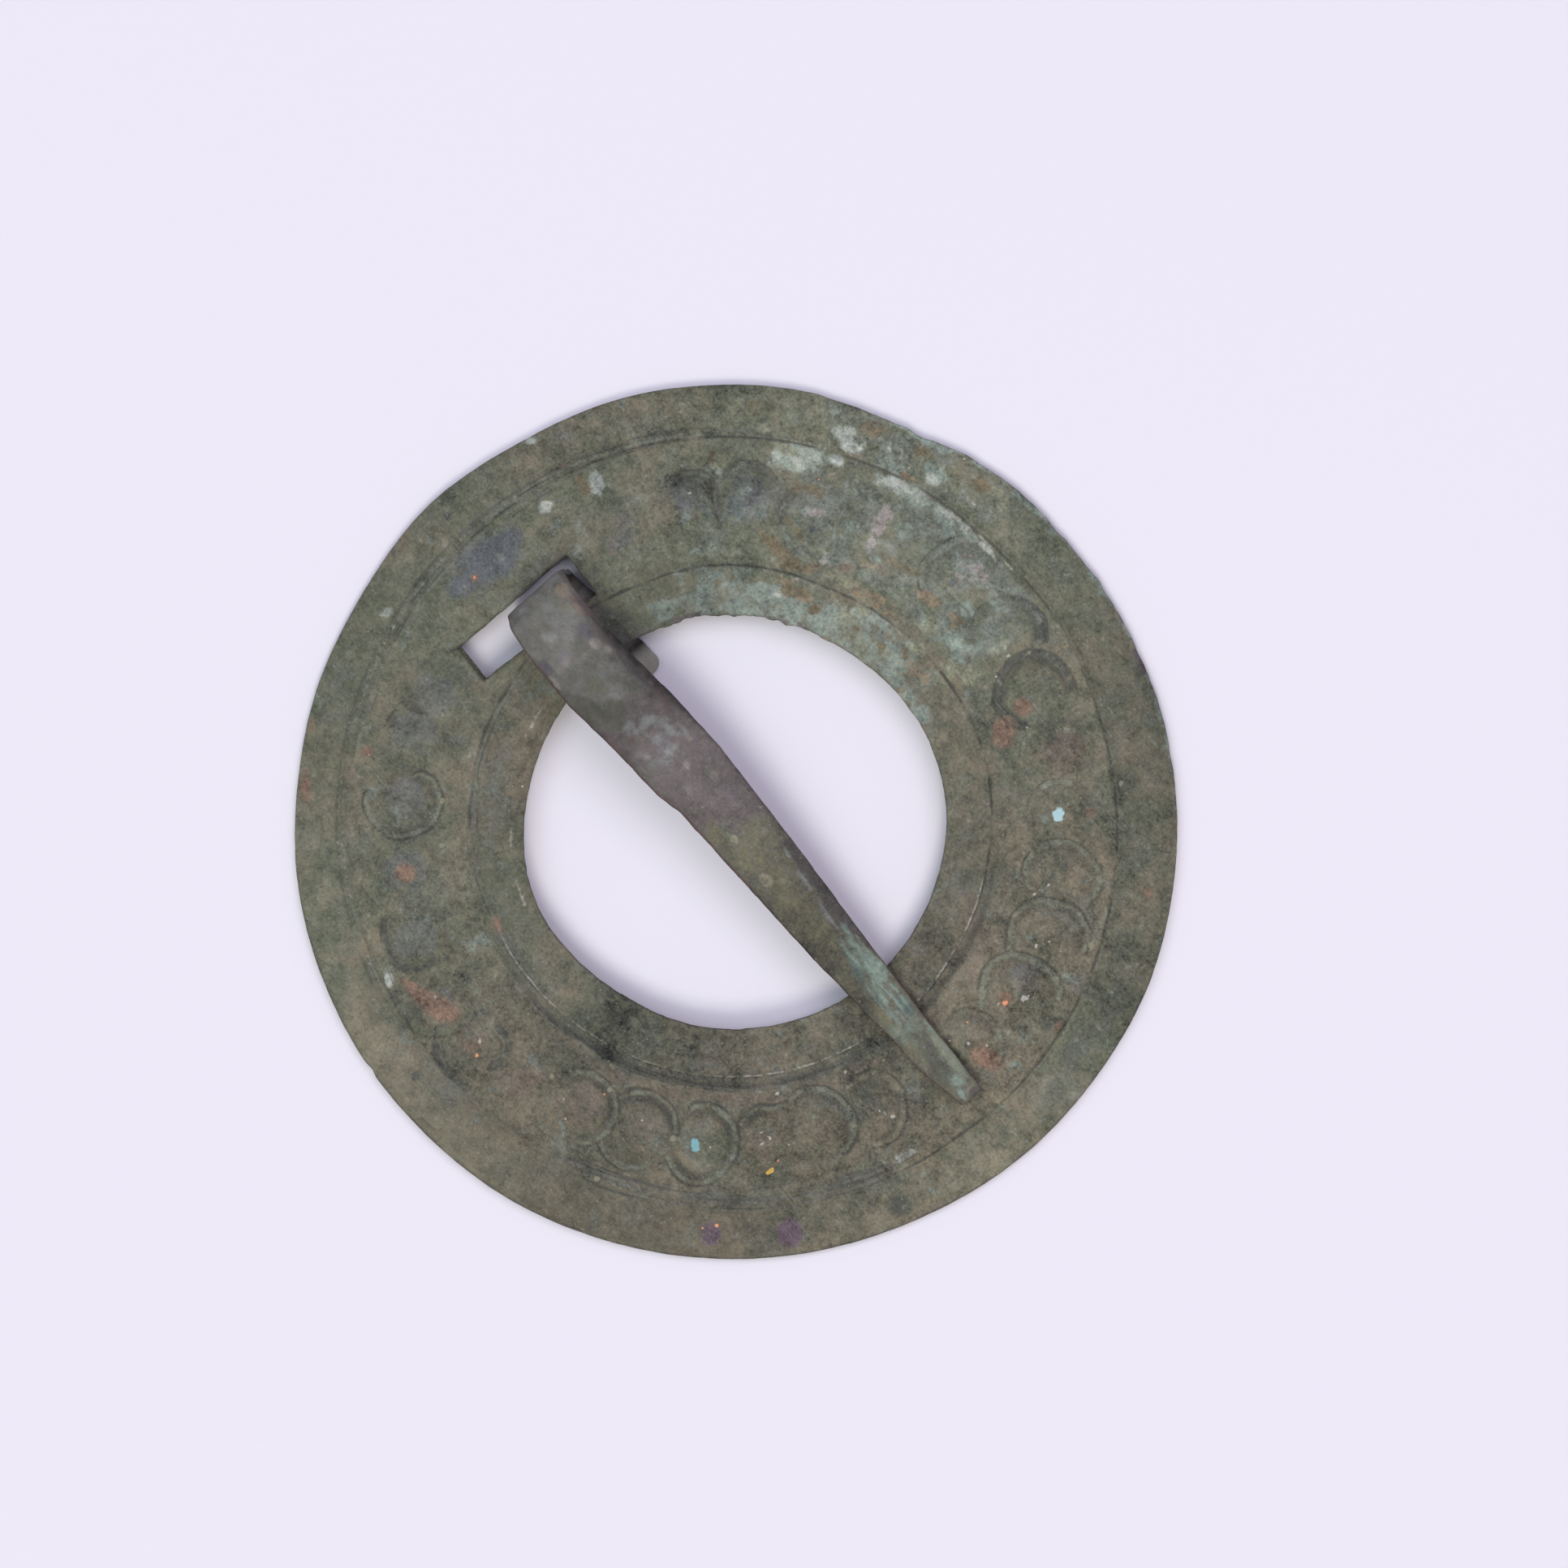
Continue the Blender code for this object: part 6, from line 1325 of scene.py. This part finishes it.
    height = m.math("MULTIPLY_ADD", mottle, 0.9, m.math("MULTIPLY_ADD", fine, 0.35, m.math("MULTIPLY", grain, 0.7)))
    height = m.math("MULTIPLY_ADD", masks["line"], -0.5, height)
    height = m.math("MULTIPLY_ADD", masks["turq"], 0.25, height)
    m.bump(height, 0.045, 0.8)
    return m.material


def pin_material():
    m = Shade("pin_bronze", metallic=0.0, specular=0.45)
    broad, patch, mottle, grain, fine = m.noise(4.0, 2, 0.5, 5), m.noise(1.5, 3, 0.6, 13), m.noise(0.7, 3, 0.6, 29), m.noise(0.32, 2, 0.6, 31), m.noise(0.15, 1, 0.5, 43)
    crust = m.noise(1.1, 5, 0.68, 107, 0.5)
    color = m.mix(m.step(patch, 0.40, 0.62), (0.124, 0.124, 0.104), (0.140, 0.138, 0.127))
    color = m.mix(m.cover("mid", patch, 0.7, 0.25, 0.75, 0.95), color, (0.115, 0.095, 0.092))
    color = m.mix(m.cover("low", patch, 0.5, 0.25, 0.75, 0.95), color, (0.110, 0.106, 0.070))
    color = m.mix(m.step(crust, 0.56, 0.62, 0.0, 0.42), color, (0.088, 0.084, 0.070))
    color = m.mix(m.step(crust, 0.43, 0.37, 0.0, 0.38), color, (0.176, 0.168, 0.146))
    color = m.mix(m.math("MULTIPLY", m.attribute("back"), 0.75), color, (0.098, 0.096, 0.082))
    drawn = m.grain_along(2.2, 0.42, 9.0)
    layers = (
        ("olive", patch, 0.7, (0.120, 0.114, 0.065), 0.95, 0.20, 0.70),
        ("green", drawn, 1.0, (0.104, 0.128, 0.096), 0.90, 0.24, 0.74),
        ("blue", mottle, 0.6, (0.124, 0.132, 0.132), 0.80, 0.20, 0.80),
        ("purple", patch, 0.3, (0.112, 0.098, 0.122), 0.85, 0.15, 0.85),
        # Painted shade on the head's worn facet
        ("facet", patch, 0.4, (0.094, 0.085, 0.078), 0.75, 0.20, 0.75),
        ("loam", crust, 0.8, (0.080, 0.082, 0.056), 0.90, 0.20, 0.70),
        # Dark patches, with painted shade along the right edge
        ("dark", mottle, 0.5, (0.068, 0.060, 0.056), 0.92, 0.22, 0.74),
        ("red", mottle, 0.7, (0.110, 0.074, 0.071), 0.85, 0.22, 0.80),
        ("orange", patch, 0.35, (0.196, 0.160, 0.118), 0.80, 0.12, 0.80),
        ("ivory", mottle, 0.5, (0.240, 0.222, 0.155), 0.85, 0.20, 0.80),
        ("teal", drawn, 0.9, (0.082, 0.120, 0.110), 0.90, 0.24, 0.74),
        ("turq", drawn, 1.15, (0.174, 0.237, 0.198), 0.90, 0.22, 0.78),
        ("sage", crust, 0.9, (0.162, 0.182, 0.132), 0.85, 0.22, 0.76),
        # Blue-grey patches, and a painted highlight along the facet's ridge
        ("ice", mottle, 0.8, (0.172, 0.182, 0.178), 0.80, 0.24, 0.78),
        # Pale spots, some of them painted highlights
        ("pale", patch, 0.35, (0.262, 0.238, 0.214), 0.85, 0.12, 0.85),
        ("edge", grain, 0.5, (0.088, 0.054, 0.049), 0.90, 0.22, 0.74),
    )
    for name, noise_socket, amount, tint, most, low, high in layers:
        color = m.mix(m.cover(name, noise_socket, amount, low, high, most), color, tint)
    light = m.math("MULTIPLY", m.math("SUBTRACT", grain, 0.5), 1.00)
    light = m.math("MULTIPLY_ADD", m.math("SUBTRACT", fine, 0.5), 0.80, light)
    light = m.math("MULTIPLY_ADD", light, m.attribute("crisp"), 1.0)
    light = m.math("MULTIPLY_ADD", m.math("SUBTRACT", mottle, 0.5), 0.85, light)
    light = m.math("MULTIPLY_ADD", m.math("SUBTRACT", patch, 0.5), 0.95, light)
    # The tone carries painted shade on the strip, and painted light and shadow on the tab
    light = m.math("ADD", light, m.attribute("tone"))
    specks = m.step(m.noise(0.30, 1, 0.5, 61), 0.66, 0.74, 0.0, 0.25)
    light = m.math("MULTIPLY", light, m.math("SUBTRACT", 1.0, specks))
    shade = m.node("ShaderNodeVectorMath", operation="SCALE")
    m.feed(shade.inputs[0], color)
    m.feed(shade.inputs["Scale"], light)
    flecks = m.math("MULTIPLY", m.step(m.noise(0.18, 1, 0.5, 89), 0.69, 0.76, 0.0, 0.50), m.attribute("crisp"))
    m.feed(m.shader.inputs["Base Color"], m.mix(flecks, shade.outputs[0], (0.240, 0.236, 0.205)))
    m.feed(m.shader.inputs["Roughness"], m.math("MULTIPLY_ADD", m.math("SUBTRACT", grain, 0.5), 0.4, 0.58))
    height = m.math("MULTIPLY_ADD", mottle, 0.9, m.math("MULTIPLY_ADD", fine, 0.35, m.math("MULTIPLY", grain, 0.6)))
    m.bump(height, 0.04, 0.8)
    return m.material


# ---------------------------------------------------------------- floor, light and camera
def area_light(name, toward, elevation, distance, size, watts, color):
    """An area light over the ring's middle, in the level direction (x, y) and this far up, in degrees and metres."""
    flat = Vector((toward[0], toward[1], 0)).normalized()
    place = flat * math.cos(math.radians(elevation)) + Vector((0, 0, math.sin(math.radians(elevation))))
    data = bpy.data.lights.new(name, "AREA")
    data.shape, data.size, data.energy, data.color = "DISK", size, watts, color
    lamp = bpy.data.objects.new(name, data)
    lamp.location = place * distance
    lamp.rotation_euler = place.to_track_quat("Z", "Y").to_euler()
    bpy.context.scene.collection.objects.link(lamp)


def make_stage():
    side = 0.6
    mesh = bpy.data.meshes.new("floor")
    mesh.from_pydata([(-side, -side, 0), (side, -side, 0), (side, side, 0), (-side, side, 0)], [], [(0, 1, 2, 3)])
    floor = bpy.data.objects.new("floor", mesh)
    floor.location.z = -0.02 * MM
    bpy.context.scene.collection.objects.link(floor)
    paper = bpy.data.materials.new("paper")
    paper.use_nodes = True
    shader = paper.node_tree.nodes["Principled BSDF"]
    shader.inputs["Base Color"].default_value = (0.80, 0.78, 0.86, 1)
    shader.inputs["Roughness"].default_value = 0.95
    shader.inputs["Specular IOR Level"].default_value = 0.0
    mesh.materials.append(paper)

    world = bpy.data.worlds.new("studio")
    world.use_nodes = True
    world.node_tree.nodes["Background"].inputs["Color"].default_value = (0.281, 0.267, 0.320, 1)
    world.node_tree.nodes["Background"].inputs["Strength"].default_value = 1.0
    bpy.context.scene.world = world

    up, right = (-0.776, 0.631), (0.631, 0.776)  # the picture's directions on the floor
    area_light("key", (-up[0], -up[1]), 56, 1.5, 0.72, 9.3, (0.985, 0.96, 0.80))
    area_light("side", (-right[0], -right[1]), 58, 1.5, 1.25, 7.1, (0.845, 0.945, 1.0))
    area_light("fill", (up[0] + right[0], up[1] + right[1]), 65, 1.5, 1.2, 8.1, (0.94, 0.89, 1.0))

    data = bpy.data.cameras.new("camera")
    data.sensor_width, data.lens = 36.0, 161.6
    data.clip_start, data.clip_end = 0.01, 20.0
    camera = bpy.data.objects.new("camera", data)
    camera.location = (0.0, 3.6 * MM, 401.6 * MM)
    camera.rotation_euler = (0, 0, math.radians(50.9))
    bpy.context.scene.collection.objects.link(camera)
    bpy.context.scene.camera = camera
    bpy.context.scene.view_settings.view_transform = "Standard"


make_stage()
ring = make_ring()
ring.data.materials.clear()
ring.data.materials.append(ring_material())
pin = make_pin()
pin.data.materials.append(pin_material())
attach(ring, "ring")
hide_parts("ring_plate")
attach(pin, "pin")
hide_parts("pin")
for piece in (ring, pin):
    piece.data.calc_loop_triangles()
    print(piece.name, len(piece.data.loop_triangles), "triangles")
